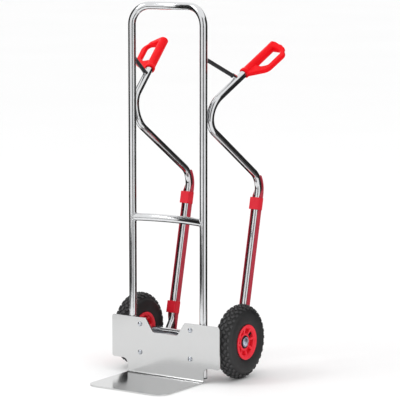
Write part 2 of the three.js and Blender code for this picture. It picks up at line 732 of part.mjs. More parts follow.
// A ring of oval section with an opening for the valve.
function innerTube() {
  const middle = (INNER_TUBE_TOP + INNER_TUBE_BOTTOM) / 2;
  const halfHeight = (INNER_TUBE_TOP - INNER_TUBE_BOTTOM) / 2;
  const halfWidth = TYRE_WIDTH / 2 - TYRE_SIDE_WALL - 3;
  const oval = (skin) => {
    const points = circle(1, 8).map(({ x, y }) => [middle + (halfHeight - skin) * x, (halfWidth - skin) * y]);
    return turned([...points, points[0]], RING_SIDES);
  };
  return cut(oval(0), oval(TUBE_SKIN), valveHole(INNER_TUBE_BOTTOM + 14));
}

function radial(radius, x = 0) {
  const angle = THREE.MathUtils.degToRad(POCKET_START);
  return new THREE.Vector3(x, radius * Math.cos(angle), radius * Math.sin(angle));
}

function valveHole(top) {
  const radius = holeRadius(VALVE_DIAMETER / 2 + TOUCH, SMALL_SIDES);
  return bar(radial(POCKET_INNER, VALVE_X), radial(top, VALVE_X), radius);
}

// One rim half. The outer half reaches from the joint to +X, with ribbed pockets in its face.
function rimHalf() {
  const joint = TOUCH / 2;
  const profile = [
    [BEARING_DIAMETER / 2 + TOUCH, joint], [BARREL_RADIUS, joint], [BARREL_RADIUS + 2, RIM_LIP - 5],
    [RIM_RADIUS, RIM_LIP - 3.3], [RIM_RADIUS, RIM_LIP - 1], [RIM_RADIUS - 2, RIM_LIP],
    [POCKET_OUTER + 2, RIM_LIP - 2], [POCKET_OUTER, RIM_LIP - 5], [HUB_RADIUS, HUB_END],
    [BEARING_DIAMETER / 2 + TOUCH, HUB_END], [BEARING_DIAMETER / 2 + TOUCH, joint],
  ];
  const pockets = pocketAngles().map((angle) => prismAlongX(pocketOutline(angle), POCKET_FLOOR, RIM_LIP));
  return cut(turned(profile, WHEEL_SIDES), ...pockets, ...rivetPlaces().map(rivetHole));
}

function pocketAngles() {
  return Array.from({ length: POCKETS }, (_, k) =>
    THREE.MathUtils.degToRad(POCKET_START) + (2 * Math.PI * k) / POCKETS);
}

function pocketOutline(angle) {
  const half = Math.PI / POCKETS;
  const outer = half - Math.asin(RIB / 2 / POCKET_OUTER);
  const inner = half - Math.asin(RIB / 2 / POCKET_INNER);
  return [
    ...arc(POCKET_OUTER, angle - outer, angle + outer, 4),
    ...arc(POCKET_INNER, angle + inner, angle - inner, 2),
  ];
}

// Four rivets hold the halves together, in the pockets beside the one with the valve.
function rivetPlaces() {
  const radius = (POCKET_INNER + POCKET_OUTER) / 2;
  return pocketAngles().filter((_, k) => k % 2 === 1)
    .map((angle) => [radius * Math.cos(angle), radius * Math.sin(angle)]);
}

function rivetHole([y, z]) {
  const radius = holeRadius(RIVET_DIAMETER / 2 + TOUCH, 12);
  return bar(new THREE.Vector3(-RIM_LIP, y, z), new THREE.Vector3(RIM_LIP, y, z), radius, 12);
}

function rimRivet([y, z]) {
  const shank = RIVET_DIAMETER / 2;
  const start = POCKET_FLOOR + TOUCH;
  const profile = [
    [0, -start - 2.6], [shank + 1, -start - 2], [shank + 2.4, -start], [shank, -start],
    [shank, start], [shank + 2.4, start], [shank + 1, start + 2.6], [0, start + 2.6],
  ];
  return turned(profile, 12).translate(0, y, z);
}

function bearing(side) {
  const middle = side * (HUB_END - TOUCH - BEARING_LENGTH / 2);
  return ring(holeRadius(AXLE_R + PLAY, AXLE_SIDES), BEARING_DIAMETER / 2, middle - BEARING_LENGTH / 2,
    middle + BEARING_LENGTH / 2, AXLE_SIDES);
}

function washer(side) {
  const near = side * (HUB_END + TOUCH);
  const far = side * (HUB_END + TOUCH + WASHER);
  return ring(holeRadius(AXLE_R + TOUCH, AXLE_SIDES), WASHER_DIAMETER / 2, Math.min(near, far),
    Math.max(near, far), AXLE_SIDES);
}

// A domed cap pressed on the axle's end.
function hubCap() {
  const radius = HUB_CAP_DIAMETER / 2;
  const bore = holeRadius(AXLE_R + TOUCH, AXLE_SIDES);
  const face = CAP_START + HUB_CAP;
  return turned([
    [bore, CAP_START], [radius, CAP_START], [radius, face - 1.5], [0.8 * radius, face], [0, face + 1.2],
    [0, CAP_START + HUB_CAP / 2 + TOUCH], [bore, CAP_START + HUB_CAP / 2 + TOUCH], [bore, CAP_START],
  ], AXLE_SIDES);
}

const VALVE_STEP = 42;             // radius where the cap takes over from the stem

function valveStem() {
  return bar(radial(VALVE_STEP, VALVE_X), radial(INNER_TUBE_BOTTOM + 5, VALVE_X), VALVE_DIAMETER / 2, 12);
}

function valveCap() {
  return bar(radial(POCKET_INNER + 2, VALVE_X), radial(VALVE_STEP - TOUCH, VALVE_X),
    VALVE_DIAMETER / 2 + 1, 12);
}

function atWheel(geometry) {
  return geometry.clone().translate(WHEEL_X, AXLE_DEPTH, AXLE_HEIGHT);
}

function addWheelPair(name, geometry, material) {
  addPair(name, atWheel(geometry), material);
}

addWheelPair('tyre', tyre(), tyreRubber);
addWheelPair('inner_tube', innerTube(), blackRubber);
addWheelPair('outer_rim', cut(rimHalf(), valveHole(BARREL_RADIUS + 6)), rimRed);
addWheelPair('inner_rim', mirrored(rimHalf()), rimRed);
addWheelPair('outer_bearing', bearing(1), zincSteel);
addWheelPair('inner_bearing', bearing(-1), zincSteel);
rivetPlaces().forEach((place, k) => addWheelPair(`rim_rivet_${k + 1}`, rimRivet(place), zincSteel));
addWheelPair('valve_stem', valveStem(), blackRubber);
addWheelPair('valve_cap', valveCap(), blackPlastic);
addWheelPair('outer_washer', washer(1), zincSteel);
addWheelPair('inner_washer', washer(-1), zincSteel);
addWheelPair('hub_cap', hubCap(), zincSteel);

// The truck stands on z = 0 with its middle over the origin.
const bounds = new THREE.Box3().setFromObject(truck);
truck.position.y = -(bounds.min.y + bounds.max.y) / 2;
truck.updateMatrixWorld(true);

export default truck;
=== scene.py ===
# %% [markdown]
# A hand truck in polished aluminium, with red plastic grips, skids and rims and black air tyres.
# The frame comes in as coarse facets, because it is made for weight and collision. This lesson
# makes the fine surface around it. Every size is in metres, the front of the back plate and the
# axle are found in the frame, and each new piece takes the place of a coarse one.

from math import ceil, cos, pi, radians, sin, sqrt, tan

import bmesh
import bpy
from mathutils import Matrix, Vector


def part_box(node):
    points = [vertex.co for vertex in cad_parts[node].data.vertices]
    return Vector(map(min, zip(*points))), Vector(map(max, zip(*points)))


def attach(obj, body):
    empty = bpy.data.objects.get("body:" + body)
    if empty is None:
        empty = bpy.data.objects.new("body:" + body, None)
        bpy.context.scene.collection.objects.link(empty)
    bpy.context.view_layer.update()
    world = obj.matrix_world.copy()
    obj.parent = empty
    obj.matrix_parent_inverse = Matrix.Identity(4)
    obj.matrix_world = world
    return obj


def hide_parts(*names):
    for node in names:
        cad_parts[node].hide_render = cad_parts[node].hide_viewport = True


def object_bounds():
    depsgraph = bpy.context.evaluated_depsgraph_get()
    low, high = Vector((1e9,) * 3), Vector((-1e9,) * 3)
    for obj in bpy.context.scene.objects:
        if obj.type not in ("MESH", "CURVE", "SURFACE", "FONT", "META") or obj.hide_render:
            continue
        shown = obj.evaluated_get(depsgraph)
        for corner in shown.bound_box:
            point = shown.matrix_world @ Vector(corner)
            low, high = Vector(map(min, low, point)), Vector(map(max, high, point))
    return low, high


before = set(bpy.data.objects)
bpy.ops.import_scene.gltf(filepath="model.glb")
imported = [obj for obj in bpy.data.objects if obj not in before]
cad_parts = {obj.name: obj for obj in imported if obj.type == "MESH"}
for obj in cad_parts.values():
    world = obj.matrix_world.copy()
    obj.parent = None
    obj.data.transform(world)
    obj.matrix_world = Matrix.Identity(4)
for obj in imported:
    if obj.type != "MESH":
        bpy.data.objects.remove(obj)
cad_box = [list(corner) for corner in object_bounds()]

# %% [markdown]
# A few places come straight from the frame. The back plate's front face is its far side less the
# sheet's thickness, the uprights' middle plane comes from the foot plugs, and the wheels turn
# about the middle of the axle. All the other sizes are the maker's, in millimetres times MM.

# %% Places and sizes
MM = 0.001
X, Y, Z = Vector((1, 0, 0)), Vector((0, 1, 0)), Vector((0, 0, 1))
SIDES = ((1, "right"), (-1, "left"))
PLATE = 5 * MM
TUBE_R = 13.5 * MM
TUBE_WALL = 2 * MM
GAP = 0.3 * MM
WHEEL_R = 130 * MM
BELLY_R = 96 * MM
CROWN = WHEEL_R - BELLY_R
TREAD_DEPTH = 4.2 * MM


def mm(*sizes):
    """Millimetres as a tuple of metres."""
    return tuple(size * MM for size in sizes)


def middle(node):
    low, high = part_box(node)
    return (Vector(low) + Vector(high)) / 2


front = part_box("toe_plate")[1][1] - PLATE
upright = middle("right_foot_plug")
axle = middle("axle")
wheel_x = middle("right_tyre").x
top = cad_box[1][2]


def wheel_centre(side):
    return Vector((side * wheel_x, axle.y, axle.z))


print(f"uprights at x {upright.x:.3f}, y {upright.y:.4f}; axle at y {axle.y:.4f}, z {axle.z:.3f}")

# %% [markdown]
# The camera comes next, because it decides what has to look right. The truck is seen from its
# front right and a little from above, from far away through a long lens, so the uprights stay
# parallel. The lens is 189 mm on a 36 mm sensor.

# %% Camera
VIEW_TURN = radians(33.83)
VIEW_DROP = radians(7.71)
VIEW_DISTANCE = 7.133
aim = Vector((0.1463, front, 0.6349))
back_along_view = Vector((sin(VIEW_TURN), -cos(VIEW_TURN), tan(VIEW_DROP))) * cos(VIEW_DROP)

lens = bpy.data.cameras.new("camera")
lens.lens = 189.2
lens.clip_end = 300
camera = bpy.data.objects.new("camera", lens)
camera.location = aim + back_along_view * VIEW_DISTANCE
camera.rotation_euler = (pi / 2 - VIEW_DROP, 0, VIEW_TURN)
bpy.context.collection.objects.link(camera)
bpy.context.scene.camera = camera
bpy.context.scene.view_settings.view_transform = "Standard"
print("camera at", [round(c, 3) for c in camera.location])

# %% [markdown]
# Every piece is finished in the same way: a bmesh becomes a mesh, round stretches are shaded
# smooth and real edges stay sharp, and the object rides on a body and stands for its coarse
# nodes. The normals are turned outwards here, once the doubles are merged, unless the piece is
# a shell, which is turned before it gets its wall. Weighted normals keep the large flats flat,
# so that only the broken edges catch the light.

# %% Finish a piece
SHARP = radians(35)
DOUBLES = 0.01 * MM


def face_outwards(bm):
    """Merges a bmesh's doubles, then turns its faces outwards."""
    bmesh.ops.remove_doubles(bm, verts=bm.verts, dist=DOUBLES)
    bmesh.ops.recalc_face_normals(bm, faces=bm.faces)


def to_object(name, bm, outwards=True, merge=DOUBLES):
    """An object at the origin made from a bmesh, smooth but for its sharp edges."""
    if merge:
        bmesh.ops.remove_doubles(bm, verts=bm.verts, dist=merge)
    if outwards:
        bmesh.ops.recalc_face_normals(bm, faces=bm.faces)
    mesh = bpy.data.meshes.new(name)
    bm.to_mesh(mesh)
    bm.free()
    mesh.shade_smooth()
    mesh.set_sharp_from_angle(angle=SHARP)
    piece = bpy.data.objects.new(name, mesh)
    bpy.context.collection.objects.link(piece)
    return piece


def place(piece, material, slot, body, *nodes):
    """Gives a piece its finish, its body and the coarse nodes that it stands for."""
    piece.data.materials.clear()
    piece.data.materials.append(material)
    flats = piece.modifiers.new("flats", "WEIGHTED_NORMAL")
    flats.keep_sharp = True
    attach(piece, body)
    if nodes:
        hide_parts(*nodes)


def settle(piece):
    """Makes a piece's modifiers part of its mesh."""
    seen = piece.evaluated_get(bpy.context.evaluated_depsgraph_get())
    mesh = bpy.data.meshes.new_from_object(seen)
    piece.modifiers.clear()
    piece.data = mesh
    mesh.shade_smooth()
    mesh.set_sharp_from_angle(angle=SHARP)
    return piece


def cut(piece, *tools):
    """Takes the tools' space out of a piece and throws the tools away."""
    for tool in tools:
        saw = piece.modifiers.new("saw", "BOOLEAN")
        saw.object = tool
        saw.solver = "EXACT"
    settle(piece)
    for tool in tools:
        bpy.data.objects.remove(tool)
    return piece


def rounded_edges(piece, width, segments=3, angle=40):
    """Breaks a piece's sharp edges, as tumbling or a mould does."""
    edge = piece.modifiers.new("edge", "BEVEL")
    edge.width = width
    edge.segments = segments
    edge.limit_method = "ANGLE"
    edge.angle_limit = radians(angle)
    return settle(piece)


print("helpers for pieces are ready")

# %% [markdown]
# Colours are given as sRGB codes, the way a paint card gives them, and one function turns them
# linear. One small function adds a node with its settings and its links, and a few shorter ones
# add the kinds that every finish below needs: noise, a mix of colours, a range and a relief.

# %% Colours and nodes
def srgb(code):
    parts = [int(code[i:i + 2], 16) / 255 for i in (0, 2, 4)]
    return (*[c / 12.92 if c <= 0.04045 else ((c + 0.055) / 1.055) ** 2.4 for c in parts], 1)


def add(tree, kind, inputs=None, **settings):
    made = tree.nodes.new(kind)
    for name, value in settings.items():
        setattr(made, name, value)
    for name, value in (inputs or {}).items():
        if isinstance(value, bpy.types.NodeSocket):
            tree.links.new(value, made.inputs[name])
        else:
            made.inputs[name].default_value = value
    return made


def new_finish(name, **shader_values):
    """A material with its shader, and the coordinates that its patterns read."""
    material = bpy.data.materials.new(name)
    material.use_nodes = True
    tree = material.node_tree
    shader = tree.nodes["Principled BSDF"]
    for socket, value in shader_values.items():
        shader.inputs[socket.replace("_", " ")].default_value = value
    return material, tree, shader, add(tree, "ShaderNodeTexCoord").outputs["Object"]


def noise(tree, at, grain, detail=2.0, roughness=0.5):
    """A noise whose grain is a size in metres."""
    return add(tree, "ShaderNodeTexNoise", {"Vector": at, "Scale": 1 / grain, "Detail": detail,
                                            "Roughness": roughness}).outputs["Fac"]


def blend(tree, amount, dark, light):
    """Mixes two colours; a Mix node takes colours in its sockets 6 and 7 and gives one in 2."""
    return add(tree, "ShaderNodeMix", {0: amount, 6: dark, 7: light}, data_type="RGBA").outputs[2]


def remap(tree, value, start, end, low=0.0, high=1.0):
    return add(tree, "ShaderNodeMapRange", {"Value": value, "From Min": start, "From Max": end,
                                            "To Min": low, "To Max": high}).outputs[0]


def relief(tree, height, strength, depth, **under):
    """A bump; the one that it lies on, if any, comes as Normal."""
    return add(tree, "ShaderNodeBump", {"Height": height, "Strength": strength, "Distance": depth,
                                        **under}).outputs[0]


def coat(tree, shader, patches, dark, light, gloss, skin):
    """Puts patches of two close colours and of two glosses, and a skin, on the shader."""
    tone = blend(tree, patches, srgb(dark), srgb(light))
    haze = remap(tree, patches, 0, 1, *gloss)
    for socket, value in (("Base Color", tone), ("Roughness", haze), ("Normal", skin)):
        tree.links.new(value, shader.inputs[socket])
    return tone


print("mid grey is", [round(c, 3) for c in srgb("808080")[:3]])

# %% [markdown]
# Drawn aluminium tube is pulled through a die, which leaves it bright, with faint die lines and
# slight waves that make its long reflections wander. A plain smooth metal would look like
# chrome, so a wide, low noise bends the reflections, and a handled film changes the roughness.

# %% Aluminium tube
def drawn_aluminium():
    material, tree, shader, at = new_finish("drawn_aluminium", Metallic=1.0)
    lines = add(tree, "ShaderNodeMapping", {"Vector": at, "Scale": (1, 1, 0.004)}).outputs[0]
    waves = relief(tree, noise(tree, at, 45 * MM, 1.0), 0.35, 0.6 * MM)
    skin = relief(tree, noise(tree, lines, 1.2 * MM), 0.15, 0.02 * MM, Normal=waves)
    coat(tree, shader, noise(tree, at, 70 * MM, 4.0), "D0D1D3", "E3E4E5", (0.08, 0.17), skin)
    return material


tube_finish = drawn_aluminium()
print("made", tube_finish.name)

# %% [markdown]
# Rolled aluminium sheet is duller than tube. The rolls leave a grain that runs across the plate,
# too fine to see one by one, so it is drawn a millimetre wide. Loads slide over the plate, so
# larger patches are a little rubbed.

# %% Aluminium sheet
def rolled_aluminium():
    material, tree, shader, at = new_finish("rolled_aluminium_sheet", Metallic=1.0)
    across = add(tree, "ShaderNodeMapping", {"Vector": at, "Scale": (0.02, 1, 1)}).outputs[0]
    skin = relief(tree, noise(tree, across, 1.0 * MM, 3.0), 0.25, 0.02 * MM)
    coat(tree, shader, noise(tree, at, 90 * MM, 5.0), "C9CACA", "D0D0D0", (0.12, 0.19), skin)
    return material


sheet_finish = rolled_aluminium()
print("made", sheet_finish.name)

# %% [markdown]
# The bolts, washers, brackets and hub caps are steel with bright zinc on it. Zinc looks cold and
# slightly blue, and it is cloudy at the size of a fingertip.

# %% Zinc-plated steel
def zinc_plate(name, dark, light, gloss):
    material, tree, shader, at = new_finish(name, Metallic=1.0)
    cloud = noise(tree, at, 6 * MM, 4.0)
    coat(tree, shader, cloud, dark, light, gloss, relief(tree, cloud, 0.2, 0.05 * MM))
    return material


zinc_finish = zinc_plate("zinc_plated_steel", "A9ADB3", "D3D7DE", (0.16, 0.34))
cap_finish = zinc_plate("satin_zinc_plated_cap", "C2CEE2", "E2EAF6", (0.34, 0.48))
print("made", zinc_finish.name, "and", cap_finish.name)

# %% [markdown]
# The red and black plastics share one recipe: a moulded skin with a faint orange peel, a colour
# that is a touch uneven, and gloss that differs from place to place. What changes is the colour,
# the gloss and how coarse the skin is. Grips are glossy, skids are rubbed satin by stair edges.

# %% Moulded plastics
def moulded(name, dark, light, gloss, peel, depth=0.03 * MM, shine=0.25):
    """A moulded skin; peel and depth are the width and the height of its orange peel."""
    material, tree, shader, at = new_finish(name, IOR=1.5, Specular_IOR_Level=shine)
    skin = relief(tree, noise(tree, at, peel), 0.3, depth)
    coat(tree, shader, noise(tree, at, 35 * MM, 4.0), dark, light, gloss, skin)
    return material


grip_finish = moulded("pvc_grip_red", "E2000C", "F20818", (0.26, 0.38), 1.6 * MM, shine=0.12)
clip_finish = moulded("polyamide_clip_red", "C8172A", "DE2132", (0.3, 0.42), 1.2 * MM)
skid_finish = moulded("polyethylene_skid_red", "A62637", "C03A4A", (0.34, 0.5), 1.2 * MM, 0.05 * MM)
rim_finish = moulded("polypropylene_rim_red", "E42232", "F83646", (0.28, 0.4), 1.4 * MM)
plug_finish = moulded("polyethylene_black", "1B1B1D", "26262A", (0.4, 0.55), 1.0 * MM)
# The struts get a plain dark grey.
strut_finish = moulded("dark_grey_strut_finish", "28282A", "353537", (0.35, 0.5), 0.8 * MM, 0.05 * MM)
print("made six moulded and coated finishes")

# %% [markdown]
# Tyre rubber is dark grey rather than black, because its skin scatters light, and the dust of a
# floor sits on it in patches. The tops of the tread blocks get a painted highlight, a lighter grey
# than the grooves: the distance from the ring at the tyre's belly tells a top from a groove.

# %% Tyre rubber
def calc(tree, operation, first, second=0.0):
    return add(tree, "ShaderNodeMath", {0: first, 1: second}, operation=operation).outputs[0]


def length(tree, x, y):
    flat = add(tree, "ShaderNodeCombineXYZ", {"X": x, "Y": y}).outputs[0]
    return add(tree, "ShaderNodeVectorMath", {0: flat}, operation="LENGTH").outputs["Value"]


def tread_top(tree, at):
    """A value that is 0 in the grooves of the tread and 1 on its blocks: the mask of the painted highlight
    on the block tops.
    """
    place_of = add(tree, "ShaderNodeSeparateXYZ", {0: at}).outputs
    radius = length(tree, calc(tree, "SUBTRACT", place_of["Y"], axle.y),
                    calc(tree, "SUBTRACT", place_of["Z"], axle.z))
    across = calc(tree, "SUBTRACT", calc(tree, "ABSOLUTE", place_of["X"]), wheel_x)
    height = length(tree, across, calc(tree, "SUBTRACT", radius, BELLY_R))
    on_block = remap(tree, height, CROWN - 0.8 * TREAD_DEPTH, CROWN - 0.1 * TREAD_DEPTH)
    on_crown = remap(tree, radius, WHEEL_R - 20 * MM, WHEEL_R - 15 * MM)
    return calc(tree, "MULTIPLY", on_block, on_crown)


def rubber(name, dark, dusty, painted_top_highlight=None):
    material, tree, shader, at = new_finish(name, IOR=1.52)
    skin = relief(tree, noise(tree, at, 1.5 * MM, 3.0), 0.35, 0.12 * MM)
    tone = coat(tree, shader, noise(tree, at, 28 * MM, 6.0, 0.6), dark, dusty, (0.42, 0.75), skin)
    # The tops of the tread blocks get a painted highlight: a lighter grey that stands in for light falling
    # on them.
    if painted_top_highlight:
        tree.links.new(blend(tree, tread_top(tree, at), tone, srgb(painted_top_highlight)), shader.inputs["Base Color"])
    return material


tyre_finish = rubber("vulcanised_tyre_rubber", "161617", "2C2C2D", "3A3A3B")
tube_rubber_finish = rubber("butyl_rubber", "171718", "262627")
print("made", tyre_finish.name, "and", tube_rubber_finish.name)

# %% [markdown]
# The floor is plain and pale, and wide enough that no view sees its end. The light is a bright
# plain sky all round and one soft box above. A polished tube shows its shape only by what it
# mirrors, so dark card walls stand round the truck, as in a studio. The camera and the soft
# shadows don't see the walls; only mirror-bright surfaces do.

# %% Floor and light
floor_mesh = bmesh.new()
bmesh.ops.create_grid(floor_mesh, x_segments=1, y_segments=1, size=120)
floor = to_object("floor", floor_mesh, outwards=False)
floor_paint, tree, shader, at = new_finish("white_floor_paint", Roughness=0.7, Specular_IOR_Level=0.1)
floor_tone = blend(tree, noise(tree, at, 2.0), srgb("F5F5F5"), srgb("F8F8F8"))
tree.links.new(floor_tone, shader.inputs["Base Color"])
floor.data.materials.append(floor_paint)

sky = bpy.data.worlds.new("studio")
bpy.context.scene.world = sky
sky.use_nodes = True
backdrop = sky.node_tree.nodes["Background"]
backdrop.inputs["Color"].default_value = srgb("FFFFFF")
backdrop.inputs["Strength"].default_value = 1.06

light = bpy.data.lights.new("key_box", "AREA")
light.energy = 90
light.size = 2.0
lamp = bpy.data.objects.new("key_box", light)
lamp.location = (-3.2, -3.4, 4.2)
lamp.rotation_euler = (Vector((0, 0, 0.5)) - lamp.location).to_track_quat("-Z", "Y").to_euler()
bpy.context.collection.objects.link(lamp)


def spin(bm, parts, centre, axis, angle, steps, merge=False, copies=False):
    return bmesh.ops.spin(bm, geom=parts, cent=centre, axis=axis, dvec=(0, 0, 0), angle=angle,
                          steps=steps, use_merge=merge, use_duplicate=copies)


def card(name, bearings, foot, head, shade):
    """A dark curved card, seen only in mirrors, between two bearings in degrees to the camera's left.

    foot and head are (distance from the truck, height) of its near and far or lower and upper edge.
    """
    start, end = (radians(bearing) for bearing in bearings)
    spoke = Vector((cos(VIEW_TURN - pi / 2 - start), sin(VIEW_TURN - pi / 2 - start), 0))
    bm = bmesh.new()
    verts = [bm.verts.new(spoke * distance + Z * height) for distance, height in (foot, head)]
    spin(bm, verts + [bm.edges.new(verts)], (0, 0, 0), Z, start - end, 12)
    piece = to_object(name, bm, outwards=False)
    cloth = new_finish(name + "_cloth", Roughness=1.0, Base_Color=srgb(shade), Specular_IOR_Level=0.0)[0]
    piece.data.materials.append(cloth)
    piece.visible_camera = False
    piece.visible_diffuse = False
    piece.visible_shadow = False


ABOVE_FLOOR = 3 * MM
card("left_wall", (76, 150), (1.35, ABOVE_FLOOR), (1.35, 2.2), "262626")
card("right_wall", (-60, -156), (1.35, ABOVE_FLOOR), (1.35, 2.0), "2A2A2A")
card("near_wall", (15, -15), (1.25, ABOVE_FLOOR), (1.25, 2.0), "686868")
card("left_floor_cloth", (25, 100), (1.6, ABOVE_FLOOR), (3.6, ABOVE_FLOOR), "484848")
card("right_floor_cloth", (-84, -125), (0.6, ABOVE_FLOOR), (1.35, ABOVE_FLOOR), "585858")
card("back_floor_cloth", (-125, -230), (0.3, ABOVE_FLOOR), (1.3, ABOVE_FLOOR), "202020")
print("studio has a floor, a sky, a soft box, three standing cards and three on the floor")

# %% [markdown]
# A bent tube is a circle that travels. On a straight run the circle is extruded and moved along,
# and in a bend it is spun about the bend's centre, so every bend is a true arc as a bending
# machine makes it. The same walk carries any outline, so tubes and skids share it.

# %% Walk an outline along a bent line
BEND_STEP = radians(5)


def edges_of(geometry):
    return [part for part in geometry if isinstance(part, bmesh.types.BMEdge)]


def run(bm, edges, way):
    """Extrudes edges along a straight way and returns the far ones."""
    if way.length < DOUBLES:
        return edges
    made = bmesh.ops.extrude_edge_only(bm, edges=edges)["geom"]
    far = {vert for edge in edges_of(made) for vert in edge.verts}
    bmesh.ops.translate(bm, vec=way, verts=list(far))
    return edges_of(made)


def walk(bm, edges, corners):
    """Carries edges from the first corner to the last; a corner is (place, bend radius)."""
    here = corners[0][0]
    for (before, _), (corner, bend), (after, _) in zip(corners, corners[1:], corners[2:]):
        coming, going = (corner - before).normalized(), (after - corner).normalized()
        turn = coming.angle(going)
        leg = bend * tan(turn / 2)
        axis = coming.cross(going).normalized()
        start = corner - coming * leg
        edges = run(bm, edges, start - here)
        verts = list({vert for edge in edges for vert in edge.verts})
        middle_of_bend = start + axis.cross(coming) * bend
        spun = spin(bm, edges + verts, middle_of_bend, axis, turn, ceil(turn / BEND_STEP))
        edges = edges_of(spun["geom_last"])
        here = corner + going * leg
    return run(bm, edges, corners[-1][0] - here)


def facing(at, heading, across):
    """A matrix that stands an outline at a place: its z along heading, its x across."""
    side = (across - heading * across.dot(heading)).normalized()
    turn = Matrix((side, heading.cross(side), heading)).transposed().to_4x4()
    return Matrix.Translation(at) @ turn


def bent_tube(name, corners, radius=TUBE_R, wall=TUBE_WALL, across=X, sides=48):
    """A round tube with a wall, along corners."""
    bm = bmesh.new()
    heading = (corners[1][0] - corners[0][0]).normalized()
    bmesh.ops.create_circle(bm, segments=sides, radius=radius,
                            matrix=facing(corners[0][0], heading, across))
    walk(bm, bm.edges[:], corners)
    face_outwards(bm)
    bmesh.ops.solidify(bm, geom=bm.faces[:], thickness=wall)
    return to_object(name, bm, outwards=False)


def rod(start, end, radius, sides=48):
    """A plain round bar used to cut or to fill."""
    bm = bmesh.new()
    way = end - start
    across = X if abs(way.normalized().x) < 0.9 else Z
    bmesh.ops.create_cone(bm, cap_ends=True, segments=sides, radius1=radius, radius2=radius,
                          depth=way.length, matrix=facing((start + end) / 2, way.normalized(), across))
    return to_object("rod", bm)


def tube_space(start, end):
    """The room that a tube needs, with its gap, to cut what meets it."""
    return rod(start, end, TUBE_R + GAP)


def mirrored(piece, name):
    """The left-hand copy of a right-hand piece."""
    bm = bmesh.new()
    bm.from_mesh(piece.data)
    bmesh.ops.scale(bm, vec=(-1, 1, 1), verts=bm.verts)
    bmesh.ops.reverse_faces(bm, faces=bm.faces)
    return to_object(name, bm, outwards=False, merge=0)


def place_pair(piece, base, material, slot):
    """Places a piece on the frame for the node right_base, and its twin for left_base."""
    twin = mirrored(piece, "left_" + piece.name.removeprefix("right_"))
    place(piece, material, slot, "frame", "right_" + base)
    place(twin, material, slot, "frame", "left_" + base)


print("a tube bends in steps of", round(BEND_STEP * 180 / pi), "degrees")

# %% [markdown]
# The hoop is one tube: up, over and down, with its top bar bowed back so that a load doesn't rock
# on it. The bow's corner lies behind the bar itself, because the bend cuts it off. The cross bar
# bows in the same way, and its ends are cut to sit against the uprights.

# %% Hoop and cross bar
HOOP_FOOT = 18 * MM
HOOP_BEND = 66 * MM
BOW = 25 * MM
CROSS_BAR_HEIGHT = 553 * MM


def bow(bent):
    """How far back the corner of a bow lies, and its bend radius, for a half span of upright.x."""
    corner = BOW / (1 - bent / (2 * upright.x))
    return corner, bent * upright.x / corner


def at_upright(z, side=1):
    return Vector((side * upright.x, upright.y, z))


bar_top = top - TUBE_R
depth, radius = bow(upright.x - HOOP_BEND - 4 * MM)
hoop = bent_tube("hoop", [
    (at_upright(HOOP_FOOT), 0), (at_upright(bar_top), HOOP_BEND),
    (Vector((0, upright.y + depth, bar_top)), radius),
    (at_upright(bar_top, -1), HOOP_BEND), (at_upright(HOOP_FOOT, -1), 0)])
place(hoop, tube_finish, "tube_aluminium", "frame", "main_hoop")

depth, radius = bow(upright.x - 2 * TUBE_R)
cross_bar = bent_tube("cross_bar_tube", [
    (at_upright(CROSS_BAR_HEIGHT, -1), 0), (Vector((0, upright.y + depth, CROSS_BAR_HEIGHT)), radius),
    (at_upright(CROSS_BAR_HEIGHT), 0)], across=Z)
cut(cross_bar, *[tube_space(at_upright(0, side), at_upright(top - HOOP_BEND, side)) for side, _ in SIDES])
place(cross_bar, tube_finish, "tube_aluminium", "frame", "cross_bar")
print("hoop has", len(hoop.data.polygons), "faces, cross bar", len(cross_bar.data.polygons))

# %% [markdown]
# Behind each upright a second tube does three jobs. It starts on the upright under the axle,
# sweeps back and climbs behind the wheel with the skid on it, turns forwards to the upright, and
# turns back again into the handle. Its corners are walked in the same way; only the last bend
# leaves the upright's plane, because the handles splay.

# %% Handle tubes
REAR_SLOPE = 0.225
REAR_BEND = 75 * MM
rear_corner = Vector((upright.x, front + 378 * MM, 667 * MM))
handle_end = Vector((233 * MM, front + 334 * MM, 1148 * MM))


def rear_at(z):
    """The rear run's centre line at a height."""
    return Vector((upright.x, rear_corner.y - REAR_SLOPE * (rear_corner.z - z), z))


def elbow_place():
    """The elbow's corner, set so that its arc just clears the back of the upright."""
    foremost = upright.y + 2 * TUBE_R + GAP
    guess = Vector((upright.x, foremost - REAR_BEND / 2, 920 * MM))
    down, out = (rear_corner - guess).normalized(), (handle_end - guess).normalized()
    half = (pi - down.angle(out)) / 2
    guess.y = foremost - REAR_BEND * (1 / cos(half) - 1) * (down + out).normalized().y
    return guess


elbow = elbow_place()
grip_axis = (handle_end - elbow).normalized()
sweep_height = 80 * MM
handle = bent_tube("right_handle_bent", [
    (at_upright(sweep_height), 0),
    (Vector((upright.x, front + 210 * MM, sweep_height)), REAR_BEND),
    (rear_at(148.5 * MM), REAR_BEND), (rear_corner, REAR_BEND), (elbow, REAR_BEND),
    (handle_end - grip_axis * 5.3 * MM, 0)])
cut(handle, tube_space(at_upright(0), at_upright(top - HOOP_BEND)))
place_pair(handle, "handle_tube", tube_finish, "tube_aluminium")
print("elbow at", [round(c, 4) for c in elbow])
